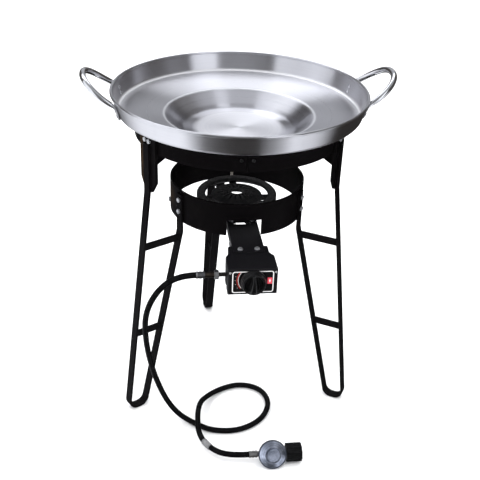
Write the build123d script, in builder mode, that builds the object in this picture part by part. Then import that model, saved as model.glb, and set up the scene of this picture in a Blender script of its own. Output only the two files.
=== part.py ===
from build123d import *
import math
import os

os.makedirs("parts", exist_ok=True)

# Outdoor propane cooker, in millimetres. The origin is on the floor under the stand's axis,
# +Z is up, the control box faces -Y and the pan's handles lie along X.

# Clearances
seat_gap = 0.2            # a flat piece bolted or riveted against a round wall
rest_gap = 0.3            # the loose pan above its ring
hole_gap = 0.25           # a screw in its hole, on the radius
running_gap = 0.05        # a turning piece on its shaft, on the radius
floor_gap = 0.3           # the regulator and hose above the floor

# Stand
front_azimuth = 270.0
leg_azimuths = {"back": 98.0, "left": 210.0, "right": 330.0}
support_azimuths = (0.0, 180.0)
bar_width = 20.0
bar_thick = 5.0
lower_ring_radius = 152.4
lower_ring_wall = 4.0
lower_ring_bottom = 466.0
lower_ring_height = 75.0
upper_ring_radius = 228.6
upper_ring_wall = 4.0
upper_ring_height = 44.5
ring_spacing = 111.0      # from the lower ring's top to the upper ring
foot_outer_radius = 304.0
foot_run = 45.0
foot_bend_share = 0.46
bar_bend = 12.0
outer_bend_drop = 2.0     # below the bracket
outer_bar_gap = 1.4       # below the bracket's bolt heads
inner_bend_drop = 22.0    # below the lower ring
inner_bar_lap = 68.0      # up the lower ring
low_rung_height = 208.0
high_rung_drop = 16.0     # below the inner bar's bend
rung_depth = 16.0
rung_thick = 5.0
bracket_thick = 4.8
bracket_width = 58.0
bracket_foot_width = 26.0
bracket_height = 132.5
bracket_taper = 26.0
bracket_corner = 6.0
bracket_top_drop = 2.0
gusset_reach = 40.0
gusset_thick = 5.0
gusset_height = 46.0
gusset_nose = 22.0

# Bolts of the stand
bolt_radius = 3.0
bolt_head_radius = 5.6
bolt_head_height = 4.0
nut_flats = 10.0
nut_side_gap = 1.0
nut_height = 5.0
bolt_tail = 3.0
upper_bolt_spacing = 15.0
upper_bolt_drop = 19.5    # below the upper ring's top
lower_bolt_rise = 26.0    # above the lower ring's bottom
lower_bolt_spacing = 28.0
strap_width = 44.0
strap_height = 30.0
strap_thick = 3.0
strap_turn = -2.3
strap_bolt_angle = 3.0
strap_bolt_radius = 2.0
strap_bolt_head = 3.6
strap_bolt_head_height = 2.6
strap_nut_flats = 7.0
strap_nut_height = 3.2
band_slit = 1.0

# Pan
pan_wall = 2.0
pan_rim_radius = 279.4
pan_hem = 3.2
pan_flare = 14.4          # from the wall's foot to the rim
pan_wall_rise = 44.0
pan_shelf_width = 101.0
pan_shelf_fall = 13.0
pan_well_run = 39.0
pan_well_depth = 34.0
pan_corner = 9.0
pan_well_bend = 14.0

# Pan handles
rod_radius = 5.5
handle_half_angle = 15.5
handle_root_drop = 15.0   # below the rim
handle_reach = 88.0
handle_rise = 36.0
handle_tip_width = 72.0
handle_tip_bend = 40.0
pad_width = 17.0
pad_height = 30.0
pad_thick = 3.5
pad_corner = 5.0
pad_drop = 13.0
rivet_radius = 2.0
rivet_head = 3.6
rivet_spacing = 12.0
rivet_head_height = 1.8

# Burner
burner_height = 19.0
outer_ring_inner = 72.0
outer_ring_outer = 92.0
outer_ring_lip = 7.0      # height of the outer ring's inner edge
outer_ring_foot = 3.0     # width of its foot, which the underside slopes down to
inner_ring_inner = 40.0
inner_ring_outer = 58.0
inner_ring_drop = 2.0     # below the outer ring's foot
inner_ring_height = 8.0
burner_edge = 5.0
cap_hole_radius = 14.5
cap_crown_radius = 30.0
cap_height = 14.0
cap_skirt = 6.0
cap_teeth = 18
cap_slot_width = 4.0
cap_slot_depth = 4.0
port_count = 32
port_radius = 1.6
port_depth = 4.0
port_row_gap = 8.0
spoke_count = 4
spoke_width = 16.0
tube_spacing = 46.0
tube_drop = 22.0          # below the outer ring
tube_reach = 114.0        # in front of the outer ring
tube_radius = 9.5
tube_bore = 7.0
tube_bore_depth = 60.0
bell_radius = 14.0
bell_length = 14.0
riser_radius = 12.0
inner_riser_back = 30.0
boss_radius = 8.0
boss_height = 13.0
support_lift = 2.0        # above the lower ring's bottom
support_width = 25.0
support_thick = 4.0
support_rise = 26.0
support_bend = 8.0
support_bolt_rise = 18.0  # above the lower ring's bottom
burner_screw_depth = 14.0
shutter_wall = 2.0
shutter_length = 18.0
shutter_gap = 4.0         # behind the bell mouth
shutter_tab = 9.0
air_window_width = 6.0
air_window_length = 10.0

# Spark electrode and its lead
electrode_gap = 14.0      # behind the outer ring
electrode_radius = 3.4
electrode_length = 50.0
electrode_drop = 10.0
electrode_wire = 1.2
electrode_tip = 10.0
lug_width = 14.0
lug_thick = 5.0
lead_radius = 1.5
lead_bend = 9.0
lead_drop = 2.5
lead_aside = 8.5
lead_end_aside = 5.0

# Heat shield
sheet = 1.5
shield_rise = 21.0        # above the mixing tubes' axes
shield_gap = 8.0          # in front of the outer ring
shield_width = 66.0
shield_length = 146.0
shield_lip = 6.0
shield_slot_length = 37.0
shield_slot_width = 9.0
shield_slot_inset = 19.0
shield_screw_inset = 7.0
shield_screw_front_inset = 13.0
shield_screw_spacing = 35.2
screw_radius = 2.0
screw_head_radius = 6.0
screw_head_height = 3.6
shield_boss_radius = 6.0
shield_screw_depth = 8.0
notch_width = 75.0
notch_height = 37.0
notch_corner = 6.0

# Control box
box_width = 101.0
box_height = 58.0
box_depth = 95.0
box_lap = 30.0            # under the heat shield
box_neck_width = 84.0
box_neck_length = 27.0
box_shoulder_run = 14.0
box_edge = 3.0
dial_screw_gap = 0.6
dial_height = 50.0
dial_thick = 0.8
dial_corner = 5.0
panel_screw_radius = 1.5
panel_screw_head = 2.4
panel_screw_inset = 4.5   # from the box's sides
panel_screw_drop = 7.5
bracket_plate_gap = 0.5   # to the box's sides
bracket_plate_drop = 2.0  # below the box's roof
bracket_plate_height = 36.0
bracket_plate_thick = 2.0

# Gas valve
valve_drop = 5.0          # of the knob's axis, below the mixing tubes' axes
valve_width = 56.0
valve_depth = 36.0
valve_height = 28.0
valve_inset = 36.0        # in front of the box's back
flange_radius = 15.0
flange_thick = 3.0
bonnet_radius = 12.0
nose_radius = 8.0
nose_tail = 4.4
manifold_depth = 14.0
manifold_height = 16.0
injector_radius = 5.0
injector_tip_radius = 2.2
injector_length = 26.0
injector_cone = 8.0
panel_nut_flats = 20.0
panel_nut_thick = 4.0
stem_radius = 4.0
stem_inset = 1.0          # in front of the valve's block
push_travel = 4.0
push_margin = 0.4
collar_radius = 9.0
collar_thick = 2.0
knob_radius = 26.0
knob_skirt = 8.0
knob_cup_radius = 14.0
knob_cup_depth = 8.0
knob_body_radius = 20.0
knob_body_height = 6.0
knob_grip_width = 11.0
knob_grip_height = 11.0
knob_edge = 1.5
piezo_width = 16.0
piezo_depth = 34.0
piezo_height = 22.0

# Gas inlet, hose and its ends
inlet_inset = 28.0        # in front of the valve's back
inlet_drop = 4.0          # below the knob's axis
inlet_boss_radius = 8.0
inlet_boss_length = 10.0
inlet_pipe_radius = 4.5
inlet_pipe_reach = 15.5   # out of the box's side
swivel_flats = 17.0
swivel_length = 9.0
tail_radius = 6.0
tail_length = 19.0
ferrule_radius = 7.6
ferrule_length = 18.0
ferrule_groove = 0.8
ferrule_groove_width = 2.5
hose_radius = 6.35
inlet_slot_gap = 1.0

# Regulator
regulator_turn = 51.0     # from the hose's end to the regulator's axis, along X
coupling_radius = 20.9
flange_rim_radius = 31.5
flange_rim_thick = 4.0
flange_rim_depth = 11.0
body_back_radius = 14.0
body_back_depth = 10.0
body_front_radius = 24.0
port_boss_radius = 9.0
port_boss_reach = 27.0
cover_height = 10.0
cover_foot_radius = 29.0
cover_top_radius = 18.0
cover_pit_radius = 15.5
cover_pit_depth = 2.5
button_radius = 13.5
button_height = 4.5
button_groove_radius = 9.0
button_groove = 1.2
nipple_radius = 5.0
nipple_flange_radius = 9.0
nipple_flange_thick = 3.0
nipple_tip_back = 9.0
coupling_start = 32.0
coupling_length = 34.0
coupling_wall = 4.0
coupling_thread_radius = 16.65
coupling_mouth_radius = 17.4
coupling_mouth_depth = 8.0
coupling_ribs = 10
coupling_rib_radius = 3.4

# Route of the free hose, from the valve's ferrule to the regulator's
hose_points = [
    (-112, -280, 450), (-164, -280, 450), (-207, -266, 416), (-226, -249, 344), (-219, -229, 250),
    (-201, -206, 165), (-184, -191, 104), (-166, -183, 48), (-134, -190, 16), (-92, -216, 6.7),
    (-52, -247, 6.7), (6, -262, 6.7), (58, -229, 6.7), (80, -167, 6.7), (59, -107, 6.7),
    (2, -80, 6.7), (-58, -98, 8), (-98, -142, 22), (-110, -184, 40), (-115, -228, 40),
    (-111, -284, 23), (-87, -328, 12), (-44, -350, 21.2), (4, -350, 21.2),
]

# Sizes worked out from the ones above
lower_ring_top = lower_ring_bottom + lower_ring_height
lower_ring_inner = lower_ring_radius - lower_ring_wall
upper_ring_inner = upper_ring_radius - upper_ring_wall
upper_ring_bottom = lower_ring_top + ring_spacing
upper_ring_top = upper_ring_bottom + upper_ring_height
bracket_face = upper_ring_radius + seat_gap + bracket_thick
bracket_top = upper_ring_top - bracket_top_drop
bracket_bottom = bracket_top - bracket_height
upper_bolt_height = upper_ring_top - upper_bolt_drop
lower_bolt_first = lower_ring_bottom + lower_bolt_rise
lower_bolt_heights = [lower_bolt_first, lower_bolt_first + lower_bolt_spacing]
outer_bar_radius = bracket_face + bar_thick / 2
outer_bar_top = upper_bolt_height - bolt_head_radius - outer_bar_gap
outer_bend_height = bracket_bottom - outer_bend_drop
inner_bar_radius = lower_ring_radius + seat_gap + bar_thick / 2
inner_bar_top = lower_ring_bottom + inner_bar_lap
inner_bend_height = lower_ring_bottom - inner_bend_drop
foot_inner_radius = foot_outer_radius - foot_run
foot_bend = foot_run * foot_bend_share
rung_heights = (low_rung_height, inner_bend_height - high_rung_drop)
outer_lean = (foot_outer_radius - outer_bar_radius) / (outer_bend_height - bar_thick / 2)
inner_lean = (foot_inner_radius - inner_bar_radius) / (inner_bend_height - bar_thick / 2)

pan_foot_radius = pan_rim_radius - pan_flare
pan_well_radius = pan_foot_radius - pan_shelf_width
pan_floor_radius = pan_well_radius - pan_well_run
shelf_slope = pan_shelf_fall / pan_shelf_width
shelf_at_ring = upper_ring_top + rest_gap + pan_wall / 2 * math.hypot(1, shelf_slope)
pan_well_top = shelf_at_ring - shelf_slope * (upper_ring_inner - pan_well_radius)
pan_floor_height = pan_well_top - pan_well_depth
pan_shelf_height = pan_well_top + pan_shelf_fall
pan_rim_height = pan_shelf_height + pan_wall_rise
wall_top_radius = pan_rim_radius - pan_hem
wall_top_height = pan_rim_height - pan_hem
wall_lean = math.atan2(wall_top_radius - pan_foot_radius, wall_top_height - pan_shelf_height)
handle_root_height = pan_rim_height - handle_root_drop

support_top = lower_ring_bottom + support_lift
support_bolt_height = lower_ring_bottom + support_bolt_rise
burner_bottom = support_top + boss_height
burner_top = burner_bottom + burner_height
outer_ring_middle = (outer_ring_inner + outer_ring_outer) / 2
outer_ring_under = burner_top - outer_ring_lip
inner_ring_bottom = burner_bottom - inner_ring_drop
inner_ring_top = inner_ring_bottom + inner_ring_height
tube_height = burner_bottom - tube_drop
bell_front = outer_ring_outer + tube_reach
shutter_front = bell_front - bell_length - shutter_gap
electrode_reach = outer_ring_outer + electrode_gap

shield_top = tube_height + shield_rise
shield_back = outer_ring_outer + shield_gap
shield_front = shield_back + shield_length
shield_slot_back = shield_back + shield_slot_inset
shield_screw_back = shield_back + shield_screw_inset
shield_screw_front = shield_front - shield_screw_front_inset
notch_top = lower_ring_bottom + notch_height
box_top = shield_top - sheet
box_bottom = box_top - box_height
box_back = shield_front - box_lap
box_front = box_back + box_depth
box_shoulder_back = box_back + box_neck_length
box_shoulder_front = box_shoulder_back + box_shoulder_run
dial_middle = box_top - box_height / 2
dial_face = box_front + dial_thick
panel_screw_height = box_top - panel_screw_drop
panel_screw_aside = box_width / 2 - panel_screw_inset
dial_width = 2 * (panel_screw_aside - panel_screw_head - dial_screw_gap)
bracket_plate_width = box_width - 2 * (sheet + bracket_plate_gap)
bracket_plate_middle = box_top - sheet - bracket_plate_drop - bracket_plate_height / 2
bracket_plate_back = box_front - sheet - bracket_plate_thick
valve_axis = tube_height - valve_drop
valve_back = box_back + valve_inset
valve_front = valve_back + valve_depth
stem_inner_end = valve_front + stem_inset
knob_back = dial_face + push_travel + push_margin
inlet_axis_back = valve_back + inlet_inset
inlet_axis_height = valve_axis - inlet_drop
inlet_pipe_end = box_width / 2 + inlet_pipe_reach
regulator_height = coupling_radius + floor_gap


def outward_plane(azimuth, radius, height, aside=0.0):
    """Plane on the stand's side: x runs round the stand, y is up and z points away from the axis."""
    angle = math.radians(azimuth)
    radial = Vector(math.cos(angle), math.sin(angle), 0)
    tangent = Vector(-math.sin(angle), math.cos(angle), 0)
    origin = radial * radius + tangent * aside + Vector(0, 0, height)
    return Plane(origin=origin, x_dir=tangent, z_dir=radial)


def radial_plane(azimuth):
    """Upright plane through the stand's axis: x points away from the axis and y is up."""
    angle = math.radians(azimuth)
    return Plane(
        origin=(0, 0, 0),
        x_dir=(math.cos(angle), math.sin(angle), 0),
        z_dir=(math.sin(angle), -math.cos(angle), 0),
    )


def front_plane(back, height=0.0, aside=0.0):
    """Upright plane facing the front: x is +X, y is up and z points to the front, -Y."""
    return Plane(origin=(aside, -back, height), x_dir=(1, 0, 0), z_dir=(0, -1, 0))


def side_plane(along, back, height):
    """Plane across an X axis: z points along +X, x is +Y and y is up."""
    return Plane(origin=(along, back, height), x_dir=(0, 1, 0), z_dir=(1, 0, 0))


def save(part, name):
    part.label = name
    export_step(part, f"parts/{name}.step")


def outer_bar_at(height):
    return outer_bar_radius + outer_lean * (outer_bend_height - height)


def inner_bar_at(height):
    return inner_bar_radius + inner_lean * (inner_bend_height - height)


def round_bolt(radius, grip, tail, head_radius, head_height):
    """Domed bolt: its head stands on z = 0 and its shank runs down through the grip and on by the tail."""
    with BuildPart() as bolt:
        Cylinder(head_radius, head_height, align=(Align.CENTER, Align.CENTER, Align.MIN))
        fillet(bolt.edges().group_by(Axis.Z)[-1], head_height * 0.45)
        Cylinder(radius, grip + tail, align=(Align.CENTER, Align.CENTER, Align.MAX))
    return bolt.part


def hex_nut(flats, height, bore):
    """Hexagon nut standing on z = 0, with a plain bore."""
    with BuildPart() as nut:
        with BuildSketch():
            RegularPolygon(flats / 2, 6, major_radius=False)
            Circle(bore, mode=Mode.SUBTRACT)
        extrude(amount=height)
    return nut.part


# Pan: one spun sheet with a flat floor, a sloped well side, a shallow shelf and a flared wall
wall_normal = Vector(math.cos(wall_lean), 0, -math.sin(wall_lean))
pan_profile = [
    (0, pan_floor_height),
    (pan_floor_radius, pan_floor_height),
    (pan_well_radius, pan_well_top),
    (pan_foot_radius, pan_shelf_height),
    (wall_top_radius, wall_top_height),
]


def wall_plane(azimuth, height):
    """Plane on the outside of the pan's wall: x runs round the pan and z points away from the wall."""
    angle = math.radians(azimuth)
    middle = pan_foot_radius + math.tan(wall_lean) * (height - pan_shelf_height)
    outside = Vector(middle, 0, height) + wall_normal * (pan_wall / 2)
    return Plane(
        origin=outside.rotate(Axis.Z, azimuth),
        x_dir=(-math.sin(angle), math.cos(angle), 0),
        z_dir=wall_normal.rotate(Axis.Z, azimuth),
    )


handle_azimuths = {"right": 0.0, "left": 180.0}
pad_height_middle = handle_root_height - pad_drop
pad_planes = {
    side: [wall_plane(azimuth + turn * handle_half_angle, pad_height_middle) for turn in (-1, 1)]
    for side, azimuth in handle_azimuths.items()
}
all_pad_planes = pad_planes["right"] + pad_planes["left"]

with BuildPart() as pan:
    with BuildSketch(Plane.XZ):
        with BuildLine():
            FilletPolyline(pan_profile, radius=[pan_well_bend, pan_well_bend, pan_corner])
        trace(line_width=pan_wall)
        with Locations((wall_top_radius, wall_top_height)):
            Circle(pan_hem)
    revolve(axis=Axis.Z)
    for plane in all_pad_planes:
        with BuildSketch(plane):
            with GridLocations(0, rivet_spacing, 1, 2):
                Circle(rivet_radius + hole_gap)
        extrude(amount=2 * pan_wall, both=True, mode=Mode.SUBTRACT)
save(pan.part, "pan")

# Everything inside the pan's outer wall, which the handles must stay out of
with BuildPart() as pan_envelope:
    with BuildSketch(Plane.XZ):
        with BuildLine():
            shift = Vector(math.cos(wall_lean), -math.sin(wall_lean)) * (pan_wall / 2 + seat_gap)
            foot = Vector(pan_foot_radius, pan_shelf_height) + shift
            top = Vector(wall_top_radius, wall_top_height) + shift
            beyond = top + (top - foot)
            Polyline((0, foot.Y), (foot.X, foot.Y), (beyond.X, beyond.Y), (0, beyond.Y), close=True)
        make_face()
        with Locations((wall_top_radius, wall_top_height)):
            Circle(pan_hem + seat_gap)
    revolve(axis=Axis.Z)

for side, azimuth in handle_azimuths.items():
    wall_radius = wall_plane(0, handle_root_height).origin.X
    half_span = wall_radius * math.sin(math.radians(handle_half_angle))
    root_radius = wall_radius * math.cos(math.radians(handle_half_angle))
    angle = math.radians(azimuth)
    rise = math.radians(handle_rise)
    loop_plane = Plane(
        origin=(root_radius * math.cos(angle), root_radius * math.sin(angle), handle_root_height),
        x_dir=(-math.sin(angle), math.cos(angle), 0),
        z_dir=(-math.sin(rise) * math.cos(angle), -math.sin(rise) * math.sin(angle), math.cos(rise)),
    )
    with BuildPart() as handle:
        with BuildLine(loop_plane) as loop:
            FilletPolyline(
                (-half_span, 0),
                (-handle_tip_width / 2, -handle_reach),
                (handle_tip_width / 2, -handle_reach),
                (half_span, 0),
                radius=handle_tip_bend,
            )
        with BuildSketch(loop.line ^ 0):
            Circle(rod_radius)
        sweep()
        for plane in pad_planes[side]:
            with BuildSketch(plane):
                RectangleRounded(pad_width, pad_height, pad_corner)
            extrude(amount=seat_gap + pad_thick)
        add(pan_envelope.part, mode=Mode.SUBTRACT)
        for plane in pad_planes[side]:
            with BuildSketch(plane):
                with GridLocations(0, rivet_spacing, 1, 2):
                    Circle(rivet_radius + hole_gap)
            extrude(amount=4 * pad_thick, mode=Mode.SUBTRACT)
    save(handle.part, f"handle_{side}")

rivet_grip = running_gap + pan_wall + seat_gap + pad_thick
with BuildPart() as rivet:
    Cylinder(rivet_radius, rivet_grip, align=(Align.CENTER, Align.CENTER, Align.MIN))
    with Locations((0, 0, rivet_grip)):
        Cylinder(rivet_head, rivet_head_height, align=(Align.CENTER, Align.CENTER, Align.MIN))
    Cylinder(rivet_head, rivet_head_height, align=(Align.CENTER, Align.CENTER, Align.MAX))
    fillet(rivet.edges().group_by(Axis.Z)[-1] + rivet.edges().group_by(Axis.Z)[0], rivet_head_height * 0.6)

with BuildPart() as handle_rivets:
    for plane in all_pad_planes:
        with Locations(plane.offset(-pan_wall - running_gap)):
            with GridLocations(0, rivet_spacing, 1, 2):
                add(rivet.part)
save(handle_rivets.part, "handle_rivets")

# Upper ring: the rolled band that the pan stands on, closed at the front by a strap
upper_bolt_planes = [
    outward_plane(azimuth, bracket_face, upper_bolt_height, aside)
    for azimuth in leg_azimuths.values()
    for aside in (-upper_bolt_spacing / 2, upper_bolt_spacing / 2)
]
strap_azimuth = front_azimuth + strap_turn
strap_bolt_planes = [
    outward_plane(strap_azimuth + turn, upper_ring_radius + seat_gap, upper_bolt_height)
    for turn in (-strap_bolt_angle, strap_bolt_angle)
]

with BuildPart() as upper_ring:
    with BuildSketch(Plane.XY.offset(upper_ring_bottom)):
        Circle(upper_ring_radius)
        Circle(upper_ring_inner, mode=Mode.SUBTRACT)
    extrude(amount=upper_ring_height)
    for plane in upper_bolt_planes:
        with BuildSketch(plane):
            Circle(bolt_radius + hole_gap)
        extrude(amount=-4 * bracket_thick, mode=Mode.SUBTRACT)
    for plane in strap_bolt_planes:
        with BuildSketch(plane):
            Circle(strap_bolt_radius + hole_gap)
        extrude(amount=-2 * upper_ring_wall, mode=Mode.SUBTRACT)
    with BuildSketch(outward_plane(strap_azimuth, upper_ring_inner, upper_ring_bottom)):
        Rectangle(band_slit, 3 * upper_ring_height)
    extrude(amount=upper_ring_wall, both=True, mode=Mode.SUBTRACT)
save(upper_ring.part, "upper_ring")

with BuildPart() as band_strap:
    with BuildSketch(outward_plane(strap_azimuth, 0, upper_bolt_height)):
        RectangleRounded(strap_width, strap_height, strap_bolt_radius)
    extrude(amount=upper_ring_radius)
    with BuildSketch(Plane.XY.offset(upper_ring_bottom)):
        Circle(upper_ring_inner - seat_gap)
        Circle(upper_ring_inner - seat_gap - strap_thick, mode=Mode.SUBTRACT)
    extrude(amount=upper_ring_height, mode=Mode.INTERSECT)
    for plane in strap_bolt_planes:
        with BuildSketch(plane):
            Circle(strap_bolt_radius + hole_gap)
        extrude(amount=-4 * upper_ring_wall, mode=Mode.SUBTRACT)
save(band_strap.part, "band_strap")

# Lower ring: the burner's wind guard, with a notch at the front for the mixing tubes
lower_bolt_planes = [
    outward_plane(azimuth, inner_bar_radius + bar_thick / 2, height)
    for azimuth in leg_azimuths.values()
    for height in lower_bolt_heights
]
support_bolt_planes = [
    outward_plane(azimuth, lower_ring_radius + seat_gap, support_bolt_height) for azimuth in support_azimuths
]

with BuildPart() as lower_ring:
    with BuildSketch(Plane.XY.offset(lower_ring_bottom)):
        Circle(lower_ring_radius)
        Circle(lower_ring_inner, mode=Mode.SUBTRACT)
    extrude(amount=lower_ring_height)
    with BuildSketch(front_plane(0, notch_top)):
        RectangleRounded(notch_width, 2 * notch_height, notch_corner)
        with Locations((0, notch_height)):
            Rectangle(notch_width, 2 * notch_height, mode=Mode.SUBTRACT)
        with Locations((0, -notch_height)):
            Rectangle(notch_width, 2 * notch_corner)
    notch = extrude(amount=lower_ring_radius + bar_thick, mode=Mode.PRIVATE)
    for plane in lower_bolt_planes + support_bolt_planes:
        with BuildSketch(plane):
            Circle(bolt_radius + hole_gap)
        extrude(amount=-6 * lower_ring_wall, mode=Mode.SUBTRACT)
    add(notch, mode=Mode.SUBTRACT)
save(lower_ring.part, "lower_ring")

# Legs: each a flat bar bent into a hairpin, with two rungs and a bracket under the upper ring
for name, azimuth in leg_azimuths.items():
    side = radial_plane(azimuth)
    with BuildPart() as leg:
        with BuildSketch(side):
            with BuildLine():
                FilletPolyline(
                    (outer_bar_radius, outer_bar_top),
                    (outer_bar_radius, outer_bend_height),
                    (foot_outer_radius, bar_thick / 2),
                    (foot_inner_radius, bar_thick / 2),
                    (inner_bar_radius, inner_bend_height),
                    (inner_bar_radius, inner_bar_top),
                    radius=[bar_bend, foot_bend, foot_bend, bar_bend],
                )
            trace(line_width=bar_thick)
        extrude(amount=bar_width / 2, both=True)
        for height in lower_bolt_heights:
            with BuildSketch(outward_plane(azimuth, inner_bar_radius, height)):
                Circle(bolt_radius + hole_gap)
            extrude(amount=bar_thick, both=True, mode=Mode.SUBTRACT)
    save(leg.part, f"leg_{name}")

    outer_skew = bar_thick / 2 * math.hypot(1, outer_lean)
    inner_skew = bar_thick / 2 * math.hypot(1, inner_lean)
    with BuildPart() as rungs:
        with BuildSketch(side):
            for middle in rung_heights:
                low = middle - rung_depth / 2
                high = middle + rung_depth / 2
                with BuildLine():
                    Polyline(
                        (inner_bar_at(low) + inner_skew, low),
                        (outer_bar_at(low) - outer_skew, low),
                        (outer_bar_at(high) - outer_skew, high),
                        (inner_bar_at(high) + inner_skew, high),
                        close=True,
                    )
                make_face()
        extrude(amount=rung_thick / 2, both=True)
    save(rungs.part, f"rungs_{name}")

    with BuildPart() as bracket:
        with BuildSketch(outward_plane(azimuth, upper_ring_radius - bracket_thick, 0)):
            with BuildLine():
                Polyline(
                    (-bracket_foot_width / 2, bracket_bottom),
                    (bracket_foot_width / 2, bracket_bottom),
                    (bracket_width / 2, bracket_bottom + bracket_taper),
                    (bracket_width / 2, bracket_top),
                    (-bracket_width / 2, bracket_top),
                    (-bracket_width / 2, bracket_bottom + bracket_taper),
                    close=True,
                )
            make_face()
        extrude(amount=bracket_face - upper_ring_radius + bracket_thick)
        fillet(bracket.edges().filter_by(Plane(side.origin, z_dir=side.x_dir), reverse=True), bracket_corner)
        with BuildSketch(Plane.XY.offset(bracket_bottom)):
            Circle(upper_ring_radius + seat_gap)
        extrude(amount=upper_ring_top - bracket_bottom, mode=Mode.SUBTRACT)
        with BuildSketch(side):
            with BuildLine():
                Polyline(
                    (upper_ring_radius - gusset_reach, upper_ring_bottom),
                    (upper_ring_radius - gusset_reach, upper_ring_bottom - gusset_nose),
                    (upper_ring_radius + bracket_thick / 2, upper_ring_bottom - gusset_height),
                    (upper_ring_radius + bracket_thick / 2, upper_ring_bottom),
                    close=True,
                )
            make_face()
        extrude(amount=gusset_thick / 2, both=True)
        for aside in (-upper_bolt_spacing / 2, upper_bolt_spacing / 2):
            with BuildSketch(outward_plane(azimuth, bracket_face, upper_bolt_height, aside)):
                Circle(bolt_radius + hole_gap)
            extrude(amount=-3 * bracket_thick, mode=Mode.SUBTRACT)
    save(bracket.part, f"leg_bracket_{name}")

# Bolts and nuts of the stand
upper_nut_side = upper_bolt_spacing / 2 + nut_flats / 2 + nut_side_gap
upper_nut_face = math.sqrt(upper_ring_inner**2 - upper_nut_side**2) - seat_gap
upper_grip = bracket_face - upper_nut_face
lower_nut_face = math.sqrt(lower_ring_inner**2 - (nut_flats / 2 + nut_side_gap) ** 2) - seat_gap
lower_grip = inner_bar_radius + bar_thick / 2 - lower_nut_face
strap_nut_face = upper_ring_inner - seat_gap - strap_thick - seat_gap
strap_grip = upper_ring_radius + seat_gap - strap_nut_face
support_face = math.sqrt(lower_ring_inner**2 - (support_width / 2) ** 2) - seat_gap
support_grip = lower_ring_radius + seat_gap - support_face + support_thick

large_bolt = (bolt_radius, bolt_head_radius, bolt_head_height, nut_flats, nut_height)
small_bolt = (strap_bolt_radius, strap_bolt_head, strap_bolt_head_height, strap_nut_flats, strap_nut_height)
stand_bolts = {
    "leg_bolts_upper": (upper_bolt_planes, upper_grip, large_bolt),
    "leg_bolts_lower": (lower_bolt_planes, lower_grip, large_bolt),
    "strap_bolts": (strap_bolt_planes, strap_grip, small_bolt),
    "support_bolts": (support_bolt_planes, support_grip, large_bolt),
}
for name, (planes, grip, bolt_sizes) in stand_bolts.items():
    shank, head, head_height, flats, thick = bolt_sizes
    bolt = round_bolt(shank, grip + thick, bolt_tail, head, head_height)
    nut = hex_nut(flats, thick, shank)
    with BuildPart() as bolts:
        with Locations(*planes):
            add(bolt)
    save(bolts.part, name)
    with BuildPart() as nuts:
        with Locations(*[plane.offset(-grip - thick) for plane in planes]):
            add(nut)
    save(nuts.part, name.replace("bolts", "nuts"))

# Burner: an outer and an inner ring cast in one piece with spokes, two mixing tubes and two feet
tube_sides = (-tube_spacing / 2, tube_spacing / 2)
outer_riser_back = math.sqrt(outer_ring_middle**2 - (tube_spacing / 2) ** 2)
tube_backs = (inner_riser_back, outer_riser_back)
riser_tops = (inner_ring_bottom + port_depth, outer_ring_under)
spoke_end = outer_ring_outer - outer_ring_foot
inner_ring_middle = (inner_ring_inner + inner_ring_outer) / 2
lug_reach = electrode_reach + lug_width / 2

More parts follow.
